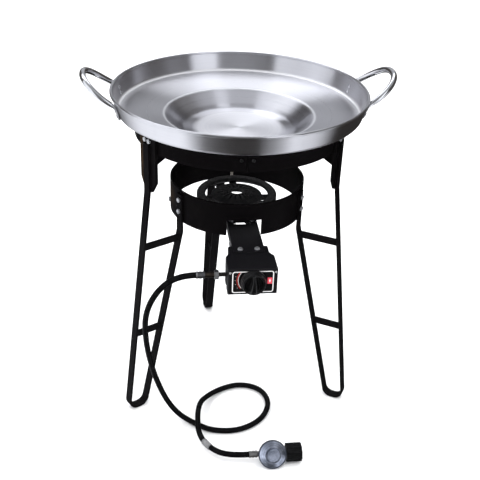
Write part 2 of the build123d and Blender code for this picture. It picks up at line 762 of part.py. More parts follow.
with BuildPart() as burner:
    with BuildSketch(Plane.XZ):
        with BuildLine():
            Polyline(
                (outer_ring_inner, burner_top),
                (outer_ring_outer, burner_top),
                (outer_ring_outer, burner_bottom),
                (outer_ring_outer - outer_ring_foot, burner_bottom),
                (outer_ring_inner, outer_ring_under),
                close=True,
            )
        outer_section = make_face()
        fillet(outer_section.vertices().group_by(Axis.Y)[-1], burner_edge)
        with Locations((inner_ring_middle, inner_ring_bottom + inner_ring_height / 2)):
            Rectangle(inner_ring_outer - inner_ring_inner, inner_ring_height)
    revolve(axis=Axis.Z)
    with BuildSketch(Plane.XY.offset(inner_ring_bottom)):
        with PolarLocations((inner_ring_middle + spoke_end) / 2, spoke_count):
            Rectangle(spoke_end - inner_ring_middle, spoke_width)
    extrude(amount=inner_ring_height)
    for across, back, riser_top in zip(tube_sides, tube_backs, riser_tops):
        with BuildSketch(front_plane(back, tube_height, across)):
            Circle(tube_radius)
        extrude(amount=bell_front - back)
        with BuildSketch(front_plane(bell_front - bell_length, tube_height, across)) as bell_root:
            Circle(tube_radius)
        with BuildSketch(front_plane(bell_front, tube_height, across)):
            Circle(bell_radius)
        loft()
        with BuildSketch(Plane(origin=(across, -back, tube_height))):
            Circle(riser_radius)
        extrude(amount=riser_top - tube_height)
        with Locations((across, -back, tube_height)):
            Sphere(riser_radius * 0.8)
        with BuildSketch(Plane(origin=(across, -shield_screw_back, tube_height))):
            Circle(shield_boss_radius)
        extrude(amount=box_top - tube_height)
    for across in (-outer_ring_middle, outer_ring_middle):
        with BuildSketch(Plane(origin=(across, 0, support_top))):
            Circle(boss_radius)
        extrude(amount=outer_ring_under - support_top)
    with BuildSketch(Plane.XY.offset(burner_bottom)):
        with Locations((0, (outer_ring_middle + lug_reach) / 2)):
            Rectangle(lug_width, lug_reach - outer_ring_middle)
    extrude(amount=lug_thick)
    fillet(burner.edges().filter_by(Axis.Z).group_by(Axis.Y)[-1], lug_thick)
    with BuildSketch(Plane(origin=(0, electrode_reach, burner_bottom))):
        Circle(electrode_radius + hole_gap)
    extrude(amount=lug_thick, mode=Mode.SUBTRACT)
    for across, back in zip(tube_sides, tube_backs):
        with BuildSketch(front_plane(bell_front, tube_height, across)):
            Circle(tube_bore)
        extrude(amount=-tube_bore_depth, mode=Mode.SUBTRACT)
        with BuildSketch(front_plane(bell_front, tube_height, across)):
            Circle(bell_radius - shutter_wall)
        extrude(amount=-bell_length, taper=math.degrees(math.atan2(bell_radius - tube_radius, bell_length)),
                mode=Mode.SUBTRACT)
        with Locations((across, -(shutter_front - shutter_length / 2), tube_height)):
            Box(4 * tube_radius, air_window_length, air_window_width, mode=Mode.SUBTRACT)
        with BuildSketch(Plane(origin=(across, -shield_screw_back, box_top))):
            Circle(screw_radius + hole_gap)
        extrude(amount=-shield_screw_depth, mode=Mode.SUBTRACT)
    for across in (-outer_ring_middle, outer_ring_middle):
        with BuildSketch(Plane(origin=(across, 0, support_top))):
            Circle(bolt_radius + hole_gap)
        extrude(amount=burner_screw_depth, mode=Mode.SUBTRACT)
    with BuildSketch(Plane.XY.offset(burner_top)):
        with PolarLocations(outer_ring_middle - port_row_gap / 2, port_count):
            Circle(port_radius)
        with PolarLocations(outer_ring_middle + port_row_gap / 2, port_count, start_angle=180 / port_count):
            Circle(port_radius)
    extrude(amount=-port_depth, mode=Mode.SUBTRACT)
save(burner.part, "burner_casting")

# Cap of the inner ring: a low hollow dome with a hole in its crown, slotted all round like a castle wall
cap_top = inner_ring_top + cap_height
cap_roof = inner_ring_top + cap_skirt
with BuildPart() as centre_cap:
    with BuildSketch(Plane.XZ):
        with BuildLine():
            Polyline(
                (cap_hole_radius, cap_roof),
                (inner_ring_inner, cap_roof),
                (inner_ring_inner, inner_ring_top),
                (inner_ring_outer, inner_ring_top),
                (inner_ring_outer, cap_roof),
                (cap_crown_radius, cap_top),
                (cap_hole_radius, cap_top),
                close=True,
            )
        make_face()
    revolve(axis=Axis.Z)
    with BuildSketch(Plane.XY.offset(cap_top)):
        with PolarLocations(inner_ring_inner, cap_teeth):
            Rectangle(inner_ring_inner, cap_slot_width)
    extrude(amount=-cap_slot_depth, mode=Mode.SUBTRACT)
save(centre_cap.part, "centre_cap")

# Cross bar that carries the burner inside the lower ring
support_end = support_face - support_thick / 2
support_middle = support_top - support_thick / 2
with BuildPart() as burner_support:
    with BuildSketch(Plane.XZ):
        with BuildLine():
            FilletPolyline(
                (-support_end, support_middle + support_rise),
                (-support_end, support_middle),
                (support_end, support_middle),
                (support_end, support_middle + support_rise),
                radius=support_bend,
            )
        trace(line_width=support_thick)
    extrude(amount=support_width / 2, both=True)
    for plane in support_bolt_planes:
        with BuildSketch(plane):
            Circle(bolt_radius + hole_gap)
        extrude(amount=-3 * bar_thick, mode=Mode.SUBTRACT)
    with BuildSketch(Plane.XY.offset(support_top)):
        with GridLocations(2 * outer_ring_middle, 0, 2, 1):
            Circle(bolt_radius + hole_gap)
    extrude(amount=-support_thick, mode=Mode.SUBTRACT)
save(burner_support.part, "burner_support")

burner_screw = round_bolt(
    bolt_radius, support_thick + burner_screw_depth, -port_depth, bolt_head_radius, bolt_head_height
)
with BuildPart() as burner_screws:
    for across in (-outer_ring_middle, outer_ring_middle):
        under = Plane(origin=(across, 0, support_top - support_thick), x_dir=(1, 0, 0), z_dir=(0, 0, -1))
        with Locations(under):
            add(burner_screw)
save(burner_screws.part, "burner_screws")

# Air shutters: slotted sleeves that turn on the mixing tubes
for name, across in zip(("left", "right"), tube_sides):
    shutter_outer = tube_radius + running_gap + shutter_wall
    with BuildPart() as shutter:
        with BuildSketch(front_plane(shutter_front - shutter_length, tube_height, across)):
            Circle(shutter_outer)
            with Locations((0, -(tube_radius + shutter_tab) / 2 - shutter_wall)):
                Rectangle(2 * shutter_wall, tube_radius + shutter_tab)
            Circle(tube_radius + running_gap, mode=Mode.SUBTRACT)
        extrude(amount=shutter_length)
        with Locations((across, -(shutter_front - shutter_length / 2), tube_height)):
            Box(4 * tube_radius, air_window_length, air_window_width, mode=Mode.SUBTRACT)
        tab_keep = shutter_length / 3
        with BuildSketch(front_plane(shutter_front - shutter_length, tube_height, across)):
            with Locations((0, -shutter_outer - shutter_tab)):
                Rectangle(shutter_outer, 2 * shutter_tab)
        extrude(amount=shutter_length - tab_keep, mode=Mode.SUBTRACT)
    save(shutter.part, f"air_shutter_{name}")

# Spark electrode behind the burner, and its lead under the right-hand tube to the igniter
electrode_bottom = burner_bottom - electrode_drop
electrode_top = electrode_bottom + electrode_length
with BuildPart() as electrode:
    with BuildSketch(Plane(origin=(0, electrode_reach, electrode_bottom))):
        Circle(electrode_radius)
    extrude(amount=electrode_length)
    with BuildSketch(Plane(origin=(0, electrode_reach, burner_bottom + lug_thick))):
        Circle(electrode_radius + 2 * electrode_wire)
    extrude(amount=lug_thick / 2)
save(electrode.part, "electrode_insulator")

with BuildPart() as spark_wire:
    with BuildLine() as wire_path:
        FilletPolyline(
            (0, electrode_reach, electrode_top),
            (0, electrode_reach, electrode_top + electrode_tip),
            (0, outer_ring_outer, electrode_top + electrode_tip),
            radius=2 * electrode_wire,
        )
    with BuildSketch(wire_path.line ^ 0):
        Circle(electrode_wire)
    sweep()
save(spark_wire.part, "electrode_wire")

piezo_left = valve_width / 2
piezo_middle = piezo_left + piezo_width / 2
piezo_back = valve_back + (valve_depth - piezo_depth) / 2
lead_height = tube_height - tube_radius - lead_drop
lead_end = piezo_left + lead_end_aside
with BuildPart() as lead:
    with BuildLine() as lead_path:
        FilletPolyline(
            (0, electrode_reach, electrode_bottom),
            (0, electrode_reach, lead_height),
            (-lead_aside, outer_ring_middle, lead_height),
            (-lead_aside, -bell_front, lead_height),
            (lead_end, -bell_front - bell_radius, lead_height),
            (lead_end, -piezo_back + lead_bend, valve_axis),
            (lead_end, -piezo_back, valve_axis),
            radius=[lead_bend, lead_bend, lead_bend, lead_bend, lead_bend * 0.6],
        )
    with BuildSketch(lead_path.line ^ 0):
        Circle(lead_radius)
    sweep()
save(lead.part, "ignition_lead")

# Heat shield over the mixing tubes, lipped on both sides and slotted near the burner
shield_screw_places = [(across, -shield_screw_back) for across in tube_sides] + [
    (-shield_screw_spacing / 2, -shield_screw_front),
    (shield_screw_spacing / 2, -shield_screw_front),
]
with BuildPart() as shield:
    with BuildSketch(Plane.XY.offset(box_top)):
        with Locations((0, -(shield_back + shield_front) / 2)):
            plate = Rectangle(shield_width, shield_length)
        fillet(plate.vertices().group_by(Axis.Y)[0], bracket_corner)
        with Locations((0, -shield_slot_back)):
            RectangleRounded(shield_slot_length, shield_slot_width, screw_radius, mode=Mode.SUBTRACT)
        with Locations(*shield_screw_places):
            Circle(screw_radius + hole_gap, mode=Mode.SUBTRACT)
    extrude(amount=sheet)
    lip_length = box_back - shield_back - sheet
    with BuildSketch(Plane.XY.offset(box_top)):
        for across in (-(shield_width - sheet) / 2, (shield_width - sheet) / 2):
            with Locations((across, -shield_back - lip_length / 2)):
                Rectangle(sheet, lip_length)
    extrude(amount=-shield_lip)
save(shield.part, "heat_shield")

with BuildPart() as shield_screws:
    for across, along in shield_screw_places:
        back_screw = along == -shield_screw_back
        reach = shield_screw_depth - hole_gap if back_screw else 2 * sheet
        with Locations(Plane(origin=(across, along, shield_top))):
            add(round_bolt(screw_radius, sheet, reach, screw_head_radius, screw_head_height))
save(shield_screws.part, "shield_screws")

# Control box: a folded cover, open at the bottom and the back
def box_outline(inset, back):
    half = box_width / 2 - inset
    neck = box_neck_width / 2 - inset
    Polyline(
        (-neck, -back),
        (-neck, -box_shoulder_back - inset),
        (-half, -box_shoulder_front - inset),
        (-half, -box_front + inset),
        (half, -box_front + inset),
        (half, -box_shoulder_front - inset),
        (neck, -box_shoulder_back - inset),
        (neck, -back),
        close=True,
    )


with BuildPart() as box_hollow:
    with BuildSketch(Plane.XY.offset(box_bottom - sheet)):
        with BuildLine():
            box_outline(sheet, box_back - 2 * sheet)
        make_face()
    extrude(amount=box_height)

inlet_slot = inlet_pipe_radius + inlet_slot_gap
panel_screw_places = [(-panel_screw_aside, panel_screw_height), (panel_screw_aside, panel_screw_height)]
with BuildPart() as control_box:
    with BuildSketch(Plane.XY.offset(box_bottom)):
        with BuildLine():
            box_outline(0, box_back)
        make_face()
    extrude(amount=box_height)
    fillet(control_box.edges().filter_by(Axis.Z), box_edge)
    rim = control_box.faces().sort_by(Axis.Z)[-1].edges().sort_by(Axis.Y)[:-1]
    fillet(rim, box_edge * 0.9)
    add(box_hollow.part, mode=Mode.SUBTRACT)
    with BuildSketch(front_plane(box_front)):
        with Locations((0, valve_axis)):
            Circle(nose_radius + hole_gap)
        with Locations(*panel_screw_places):
            Circle(panel_screw_radius + hole_gap)
    extrude(amount=-2 * sheet, mode=Mode.SUBTRACT)
    with BuildSketch(side_plane(-box_width / 2, -inlet_axis_back, 0)):
        with Locations((0, inlet_axis_height)):
            Circle(inlet_slot)
        with Locations((0, (inlet_axis_height + box_bottom - sheet) / 2)):
            Rectangle(2 * inlet_slot, inlet_axis_height - box_bottom + sheet)
    extrude(amount=2 * sheet, mode=Mode.SUBTRACT)
    with BuildSketch(Plane.XY.offset(box_top)):
        with GridLocations(shield_screw_spacing, 0, 2, 1):
            with Locations((0, -shield_screw_front)):
                Circle(screw_radius + hole_gap)
    extrude(amount=-2 * sheet, mode=Mode.SUBTRACT)
save(control_box.part, "control_box")

with BuildPart() as dial:
    with BuildSketch(front_plane(box_front, dial_middle)):
        RectangleRounded(dial_width, dial_height, dial_corner)
        with Locations((0, valve_axis - dial_middle)):
            Circle(nose_radius + hole_gap, mode=Mode.SUBTRACT)
    extrude(amount=dial_thick)
save(dial.part, "dial_plate")

with BuildPart() as valve_bracket:
    with BuildSketch(front_plane(bracket_plate_back, bracket_plate_middle)):
        RectangleRounded(bracket_plate_width, bracket_plate_height, screw_radius)
        with Locations((0, valve_axis - bracket_plate_middle)):
            Circle(nose_radius + hole_gap, mode=Mode.SUBTRACT)
        for across, height in panel_screw_places:
            with Locations((across, height - bracket_plate_middle)):
                Circle(panel_screw_radius + hole_gap, mode=Mode.SUBTRACT)
    extrude(amount=bracket_plate_thick)
save(valve_bracket.part, "valve_bracket")

with BuildPart() as panel_screws:
    panel_screw = round_bolt(
        panel_screw_radius, sheet + bracket_plate_thick, 2 * sheet, panel_screw_head, panel_screw_radius
    )
    for across, height in panel_screw_places:
        with Locations(front_plane(box_front, height, across)):
            add(panel_screw)
save(panel_screws.part, "panel_screws")

# Gas valve: a block with a threaded nose at the front, two injectors at the back and its inlet at the left
with BuildPart() as valve:
    with Locations((0, -valve_back - valve_depth / 2, valve_axis)):
        Box(valve_width, valve_depth, valve_height)
    fillet(valve.edges(), knob_edge)
    with BuildSketch(front_plane(valve_front - knob_edge, valve_axis)):
        Circle(bonnet_radius)
    extrude(amount=bracket_plate_back - valve_front + knob_edge)
    with BuildSketch(front_plane(bracket_plate_back - flange_thick, valve_axis)):
        Circle(flange_radius)
    extrude(amount=flange_thick)
    with BuildSketch(front_plane(bracket_plate_back, valve_axis)):
        Circle(nose_radius)
    extrude(amount=dial_face - bracket_plate_back + nose_tail - push_margin)
    with Locations((0, -valve_back + manifold_depth / 2, tube_height)):
        Box(valve_width, manifold_depth + 2 * knob_edge, manifold_height)
    with BuildSketch(side_plane(-valve_width / 2 + knob_edge, -inlet_axis_back, inlet_axis_height)):
        Circle(inlet_boss_radius)
    extrude(amount=-inlet_boss_length - knob_edge)
    with BuildSketch(front_plane(dial_face + nose_tail, valve_axis)):
        Circle(stem_radius + running_gap)
    extrude(amount=-(dial_face + nose_tail - stem_inner_end + 2 * push_travel), mode=Mode.SUBTRACT)
save(valve.part, "valve_body")

manifold_face = valve_back - manifold_depth - knob_edge
with BuildPart() as injectors:
    for across in tube_sides:
        with BuildSketch(front_plane(manifold_face, tube_height, across)):
            RegularPolygon(injector_radius, 6)
        extrude(amount=-(injector_length - injector_cone))
        with BuildSketch(front_plane(manifold_face - injector_length + injector_cone, tube_height, across)):
            Circle(injector_radius * 0.8)
        with BuildSketch(front_plane(manifold_face - injector_length, tube_height, across)):
            Circle(injector_tip_radius)
        loft()
save(injectors.part, "injectors")

with BuildPart() as panel_nut:
    with Locations(front_plane(dial_face, valve_axis)):
        add(hex_nut(panel_nut_flats, panel_nut_thick, nose_radius))
save(panel_nut.part, "panel_nut")

# Knob, its stem and the collar that slides in with them when the knob is pushed
collar_front = dial_face + panel_nut_thick + push_margin + push_travel + collar_thick
cup_end = knob_back + knob_cup_depth
grip_base = knob_back + knob_skirt + knob_body_height
with BuildPart() as collar:
    with BuildSketch(front_plane(collar_front - collar_thick, valve_axis)):
        Circle(collar_radius)
        Circle(stem_radius + running_gap, mode=Mode.SUBTRACT)
    extrude(amount=collar_thick)
save(collar.part, "stem_collar")

stem_front = grip_base + knob_grip_height / 2
with BuildPart() as stem:
    with BuildSketch(front_plane(stem_inner_end, valve_axis)):
        Circle(stem_radius)
    extrude(amount=stem_front - stem_inner_end)
    fillet(stem.edges().group_by(Axis.Y)[0], knob_edge / 2)
save(stem.part, "valve_stem")

with BuildPart() as knob:
    with BuildSketch(front_plane(knob_back, valve_axis)):
        Circle(knob_radius)
    extrude(amount=knob_skirt)
    fillet(knob.edges().group_by(Axis.Y)[0], knob_edge)
    with BuildSketch(front_plane(knob_back + knob_skirt, valve_axis)):
        Circle(knob_body_radius)
    extrude(amount=knob_body_height, taper=8)
    with BuildSketch(front_plane(grip_base - knob_edge, valve_axis)):
        SlotOverall(2 * knob_body_radius - knob_edge, knob_grip_width, rotation=90)
    extrude(amount=knob_grip_height + knob_edge, taper=4)
    fillet(knob.edges().group_by(Axis.Y)[0], knob_edge)
    with BuildSketch(front_plane(knob_back, valve_axis)):
        Circle(knob_cup_radius)
    extrude(amount=knob_cup_depth, mode=Mode.SUBTRACT)
    with BuildSketch(front_plane(knob_back, valve_axis)):
        Circle(stem_radius)
    extrude(amount=stem_front - knob_back, mode=Mode.SUBTRACT)
save(knob.part, "control_knob")

with BuildPart() as piezo:
    with Locations((piezo_middle, -piezo_back - piezo_depth / 2, valve_axis)):
        Box(piezo_width, piezo_depth, piezo_height)
    fillet(piezo.edges().filter_by(Axis.Y), knob_edge)
save(piezo.part, "piezo_igniter")

# Gas inlet at the left of the box
inlet_start = valve_width / 2 + inlet_boss_length
with BuildPart() as inlet_pipe:
    with BuildSketch(side_plane(-inlet_start, -inlet_axis_back, inlet_axis_height)):
        Circle(inlet_pipe_radius)
    extrude(amount=-(inlet_pipe_end - inlet_start))
save(inlet_pipe.part, "inlet_pipe")

with BuildPart() as swivel_nut:
    with BuildSketch(side_plane(-inlet_pipe_end, -inlet_axis_back, inlet_axis_height)):
        RegularPolygon(swivel_flats / 2, 6, major_radius=False)
    extrude(amount=-swivel_length)
    chamfer(swivel_nut.edges().group_by(Axis.X)[0] + swivel_nut.edges().group_by(Axis.X)[-1], knob_edge / 2)
save(swivel_nut.part, "swivel_nut")


def ferrule(length, neck):
    """Crimped ferrule along +Z: a thin neck, then a sleeve with two rolled grooves."""
    grooves = [neck + length * share for share in (0.3, 0.7)]
    with BuildPart() as sleeve:
        Cylinder(tail_radius, neck, align=(Align.CENTER, Align.CENTER, Align.MIN))
        with Locations((0, 0, neck)):
            Cylinder(ferrule_radius, length, align=(Align.CENTER, Align.CENTER, Align.MIN))
        for height in grooves:
            with BuildSketch(Plane.XY.offset(height - ferrule_groove_width / 2)):
                Circle(ferrule_radius)
                Circle(ferrule_radius - ferrule_groove, mode=Mode.SUBTRACT)
            extrude(amount=ferrule_groove_width, mode=Mode.SUBTRACT)
    return sleeve.part


valve_ferrule_plane = Plane(
    origin=(-inlet_pipe_end - swivel_length, -inlet_axis_back, inlet_axis_height),
    x_dir=(0, 1, 0),
    z_dir=(-1, 0, 0),
)
with BuildPart() as valve_ferrule:
    with Locations(valve_ferrule_plane):
        add(ferrule(ferrule_length, tail_length))
save(valve_ferrule.part, "valve_ferrule")

# Free hose: straight runs joined by arcs as large as the runs allow
hose_turns = [
    (Vector(b) - Vector(a)).get_angle(Vector(c) - Vector(b))
    for a, b, c in zip(hose_points, hose_points[1:], hose_points[2:])
]
hose_runs = [(Vector(b) - Vector(a)).length for a, b in zip(hose_points, hose_points[1:])]
hose_radii = [
    0.45 * min(before, after) / math.tan(math.radians(turn / 2))
    for before, after, turn in zip(hose_runs, hose_runs[1:], hose_turns)
]
with BuildPart() as hose:
    with BuildLine() as hose_path:
        FilletPolyline(*hose_points, radius=hose_radii)
    with BuildSketch(hose_path.line ^ 0):
        Circle(hose_radius)
    sweep()
save(hose.part, "hose")
hose_length = sum(edge.length for edge in hose_path.edges())
print("hose radii", [round(radius) for radius in hose_radii])
print("hose length", round(hose_length, 1), "volume ratio",
      round(hose.part.volume / (math.pi * hose_radius**2 * hose_length), 5))

# Regulator: lies on the floor on its rim and its coupling nut, its face turned up to the front
hose_end = Vector(*hose_points[-1])
regulator_middle = Vector(hose_end.X + regulator_turn, hose_end.Y, regulator_height)
rim_reach = math.hypot(flange_rim_radius, flange_rim_depth)
rim_angle = math.atan2(flange_rim_depth, flange_rim_radius)
face_lift = math.acos((regulator_height - floor_gap) / rim_reach) - rim_angle
regulator_plane = Plane(
    origin=regulator_middle, x_dir=(1, 0, 0), z_dir=(0, -math.cos(face_lift), math.sin(face_lift))
)


def port_plane(along):
    """Plane across the regulator's gas line, at a distance from the regulator's axis; z points along +X."""
    return side_plane(regulator_middle.X + along, regulator_middle.Y, regulator_middle.Z)


cover_foot = flange_rim_depth + flange_rim_thick
cover_top = cover_foot + cover_height
with BuildPart() as regulator_body:
    with BuildSketch(regulator_plane.offset(-body_back_depth)):
        Circle(body_back_radius)
    with BuildSketch(regulator_plane.offset(flange_rim_depth)):
        Circle(body_front_radius)
    loft()
    with BuildSketch(regulator_plane.offset(flange_rim_depth)):
        Circle(flange_rim_radius)
    extrude(amount=flange_rim_thick)
    with BuildSketch(port_plane(-port_boss_reach)):
        Circle(port_boss_radius)
    extrude(amount=2 * port_boss_reach)
save(regulator_body.part, "regulator_body")

with BuildPart() as regulator_cover:
    with BuildSketch(regulator_plane.offset(cover_foot)):
        Circle(cover_foot_radius)
    with BuildSketch(regulator_plane.offset(cover_top)):
        Circle(cover_top_radius)
    loft()
    with BuildSketch(regulator_plane.offset(cover_top)):
        Circle(cover_pit_radius)
    extrude(amount=-cover_pit_depth, mode=Mode.SUBTRACT)
save(regulator_cover.part, "regulator_cover")

button_foot = cover_top - cover_pit_depth
with BuildPart() as regulator_cap:
    with BuildSketch(regulator_plane.offset(button_foot)):
        Circle(button_radius)
    extrude(amount=button_height)
    with BuildSketch(regulator_plane.offset(button_foot + button_height)):
        Circle(button_groove_radius + button_groove)
        Circle(button_groove_radius, mode=Mode.SUBTRACT)
    extrude(amount=-button_groove, mode=Mode.SUBTRACT)
save(regulator_cap.part, "regulator_cap")

outlet_neck = regulator_turn - port_boss_reach - ferrule_length
with BuildPart() as regulator_ferrule:
    outlet_plane = Plane(
        origin=(hose_end.X + ferrule_length + outlet_neck, hose_end.Y, hose_end.Z),
        x_dir=(0, 1, 0),
        z_dir=(-1, 0, 0),
    )
    with Locations(outlet_plane):
        add(ferrule(ferrule_length, outlet_neck))
save(regulator_ferrule.part, "regulator_ferrule")

coupling_end = coupling_start + coupling_length
with BuildPart() as nipple:
    with BuildSketch(port_plane(port_boss_reach)):
        Circle(nipple_radius)
    extrude(amount=coupling_end - nipple_tip_back - port_boss_reach)
    with BuildSketch(port_plane(coupling_start + coupling_wall + rest_gap)):
        Circle(nipple_flange_radius)
    extrude(amount=nipple_flange_thick)
    chamfer(nipple.edges().group_by(Axis.X)[-1], nipple_radius / 3)
save(nipple.part, "inlet_nipple")

with BuildPart() as coupling:
    with BuildSketch(port_plane(coupling_start)):
        Circle(coupling_radius - coupling_rib_radius / 2)
        with PolarLocations(coupling_radius - coupling_rib_radius, coupling_ribs):
            Circle(coupling_rib_radius)
    extrude(amount=coupling_length)
    with BuildSketch(port_plane(coupling_start)):
        Circle(nipple_radius + running_gap)
    extrude(amount=coupling_length, mode=Mode.SUBTRACT)
    with BuildSketch(port_plane(coupling_start + coupling_wall)):
        Circle(coupling_thread_radius)
    extrude(amount=coupling_length, mode=Mode.SUBTRACT)
    with BuildSketch(port_plane(coupling_end - coupling_mouth_depth)):
        Circle(coupling_mouth_radius)
    extrude(amount=coupling_mouth_depth, mode=Mode.SUBTRACT)
save(coupling.part, "coupling_nut")
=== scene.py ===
import math

import bmesh
import bpy
from mathutils import Matrix, Vector


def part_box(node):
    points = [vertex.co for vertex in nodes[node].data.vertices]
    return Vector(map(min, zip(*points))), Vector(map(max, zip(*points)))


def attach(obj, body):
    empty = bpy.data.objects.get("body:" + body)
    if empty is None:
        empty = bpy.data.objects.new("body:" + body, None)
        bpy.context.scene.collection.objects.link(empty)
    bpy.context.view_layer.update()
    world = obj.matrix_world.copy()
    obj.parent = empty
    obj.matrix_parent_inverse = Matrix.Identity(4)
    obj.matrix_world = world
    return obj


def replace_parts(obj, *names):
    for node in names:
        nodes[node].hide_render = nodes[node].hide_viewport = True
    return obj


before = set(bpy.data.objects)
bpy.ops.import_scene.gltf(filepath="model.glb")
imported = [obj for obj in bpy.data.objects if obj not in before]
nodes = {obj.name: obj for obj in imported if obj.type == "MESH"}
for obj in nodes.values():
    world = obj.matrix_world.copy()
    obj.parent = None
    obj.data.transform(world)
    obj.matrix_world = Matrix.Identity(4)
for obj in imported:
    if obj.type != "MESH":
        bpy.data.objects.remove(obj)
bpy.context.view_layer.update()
scene = bpy.context.scene
mm = 0.001


# Camera: the photograph's viewpoint, in front and a little to the left, looking down on the pan.

eye = Vector((-210.0, -1663.4, 1310.1)) * mm
yaw = math.radians(7.609)
pitch = math.radians(29.241)
roll = math.radians(2.209)
focal_px = 806.39
frame_px = 480

level = Vector((math.cos(yaw), -math.sin(yaw), 0))
ahead = Vector((math.sin(yaw) * math.cos(pitch), math.cos(yaw) * math.cos(pitch), -math.sin(pitch)))
above = level.cross(ahead)
across = level * math.cos(roll) + above * math.sin(roll)
upward = above * math.cos(roll) - level * math.sin(roll)
camera_data = bpy.data.cameras.new("photo_camera")
camera_data.sensor_width = 36
camera_data.lens = focal_px / frame_px * camera_data.sensor_width
camera_data.clip_end = 60
camera = bpy.data.objects.new("photo_camera", camera_data)
scene.collection.objects.link(camera)
camera.matrix_world = Matrix.Translation(eye) @ Matrix((across, upward, -ahead)).transposed().to_4x4()
scene.camera = camera


# Mesh tools

def add_piece(name, mesh, body, finish, smooth=True):
    piece = bpy.data.objects.new(name, mesh)
    scene.collection.objects.link(piece)
    if piece.type == "MESH" and smooth:
        for face in mesh.polygons:
            face.use_smooth = True
    mesh.materials.append(finish.material)
    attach(piece, body)
    return piece


def mesh_of(name, form):
    bmesh.ops.recalc_face_normals(form, faces=form.faces)
    mesh = bpy.data.meshes.new(name)
    form.to_mesh(mesh)
    form.free()
    return mesh


def turn_to(axis, point):
    """Places a form made along +Z on a point, with its Z along the axis."""
    tilt = Vector((0, 0, 1)).rotation_difference(Vector(axis).normalized())
    return Matrix.Translation(Vector(point)) @ tilt.to_matrix().to_4x4()


def bridge(form, low, high):
    """Joins two rings of corners with a band of faces."""
    for k in range(len(low)):
        n = (k + 1) % len(low)
        form.faces.new((low[k], low[n], high[n], high[k]))


def close_tube(form, rings):
    """Joins rings into a tube and caps both its ends."""
    for low, high in zip(rings, rings[1:]):
        bridge(form, low, high)
    form.faces.new(list(reversed(rings[0])))
    form.faces.new(rings[-1])


def turned(form, profile, place, steps=40):
    """Adds a turned body to a form: profile is (radius, height) from the foot to the top, in millimetres."""
    rings = []
    for radius, height in profile:
        if radius < 1e-6:
            rings.append([form.verts.new(place @ Vector((0, 0, height * mm)))])
            continue
        ring = []
        for k in range(steps):
            angle = 2 * math.pi * k / steps
            spot = Vector((radius * math.cos(angle), radius * math.sin(angle), height)) * mm
            ring.append(form.verts.new(place @ spot))
        rings.append(ring)
    for low, high in zip(rings, rings[1:]):
        for k in range(steps):
            n = (k + 1) % steps
            corners = [low[k % len(low)], low[n % len(low)], high[n % len(high)], high[k % len(high)]]
            corners = list(dict.fromkeys(corners))
            if len(corners) > 2:
                form.faces.new(corners)


def ring_tube(form, points, radius_at, sides):
    """Adds a tube along points; radius_at(share) gives its radius from 0 at the start to 1 at the end."""
    last = len(points) - 1
    tangents = [(points[min(k + 1, last)] - points[max(k - 1, 0)]).normalized() for k in range(last + 1)]
    side = tangents[0].orthogonal().normalized()
    rings = []
    for k, (point, tangent) in enumerate(zip(points, tangents)):
        side = (side - tangent * side.dot(tangent)).normalized()
        other = tangent.cross(side)
        radius = radius_at(k / last)
        rings.append([
            form.verts.new(point + (side * math.cos(a) + other * math.sin(a)) * radius)
            for a in (2 * math.pi * j / sides for j in range(sides))
        ])
    close_tube(form, rings)


def cut_away(mesh, cutter):
    """Gives the mesh less the cutter, as a new mesh."""
    solid = bpy.data.objects.new("cut_solid", mesh)
    tool = bpy.data.objects.new("cut_tool", cutter)
    for thing in (solid, tool):
        scene.collection.objects.link(thing)
    cut = solid.modifiers.new("cut", "BOOLEAN")
    cut.operation = "DIFFERENCE"
    cut.solver = "EXACT"
    cut.use_self = True
    cut.object = tool
    result = bpy.data.meshes.new_from_object(solid.evaluated_get(bpy.context.evaluated_depsgraph_get()))
    result.name = mesh.name
    for thing in (solid, tool):
        bpy.data.objects.remove(thing)
    return result


# Shader tools

class Wire:
    """A socket that can be written in sums: each operation adds one Math node."""

    def __init__(self, graph, socket):
        self.graph = graph
        self.socket = socket

    def maths(self, operation, *others):
        return self.graph.node("ShaderNodeMath", {"operation": operation}, dict(enumerate((self, *others))))

    def __add__(self, other):
        return self.maths("ADD", other)

    def __radd__(self, other):
        return self.maths("ADD", other)

    def __sub__(self, other):
        return self.maths("SUBTRACT", other)

    def __rsub__(self, other):
        return self.graph.node("ShaderNodeMath", {"operation": "SUBTRACT"}, {0: other, 1: self})

    def __mul__(self, other):
        return self.maths("MULTIPLY", other)

    def __rmul__(self, other):
        return self.maths("MULTIPLY", other)

    def __neg__(self):
        return self.maths("MULTIPLY", -1)

    def __abs__(self):
        return self.maths("ABSOLUTE")

    def root(self):
        return self.maths("SQRT")

    def sine(self):
        return self.maths("SINE")

    def most(self, other):
        return self.maths("MAXIMUM", other)

    def least(self, other):
        return self.maths("MINIMUM", other)

    def wrapped(self, low, high):
        return self.maths("WRAP", high, low)

    def step(self, low, high):
        """0 below low and 1 above high, with a soft step between them."""
        return self.graph.node(
            "ShaderNodeMapRange", {"interpolation_type": "SMOOTHSTEP"},
            {"Value": self, "From Min": low, "From Max": high, "To Min": 0.0, "To Max": 1.0})

    def band(self, low, high, soft):
        """1 between low and high, falling softly to 0 outside."""
        return self.step(low - soft, low + soft) * (1 - self.step(high - soft, high + soft))


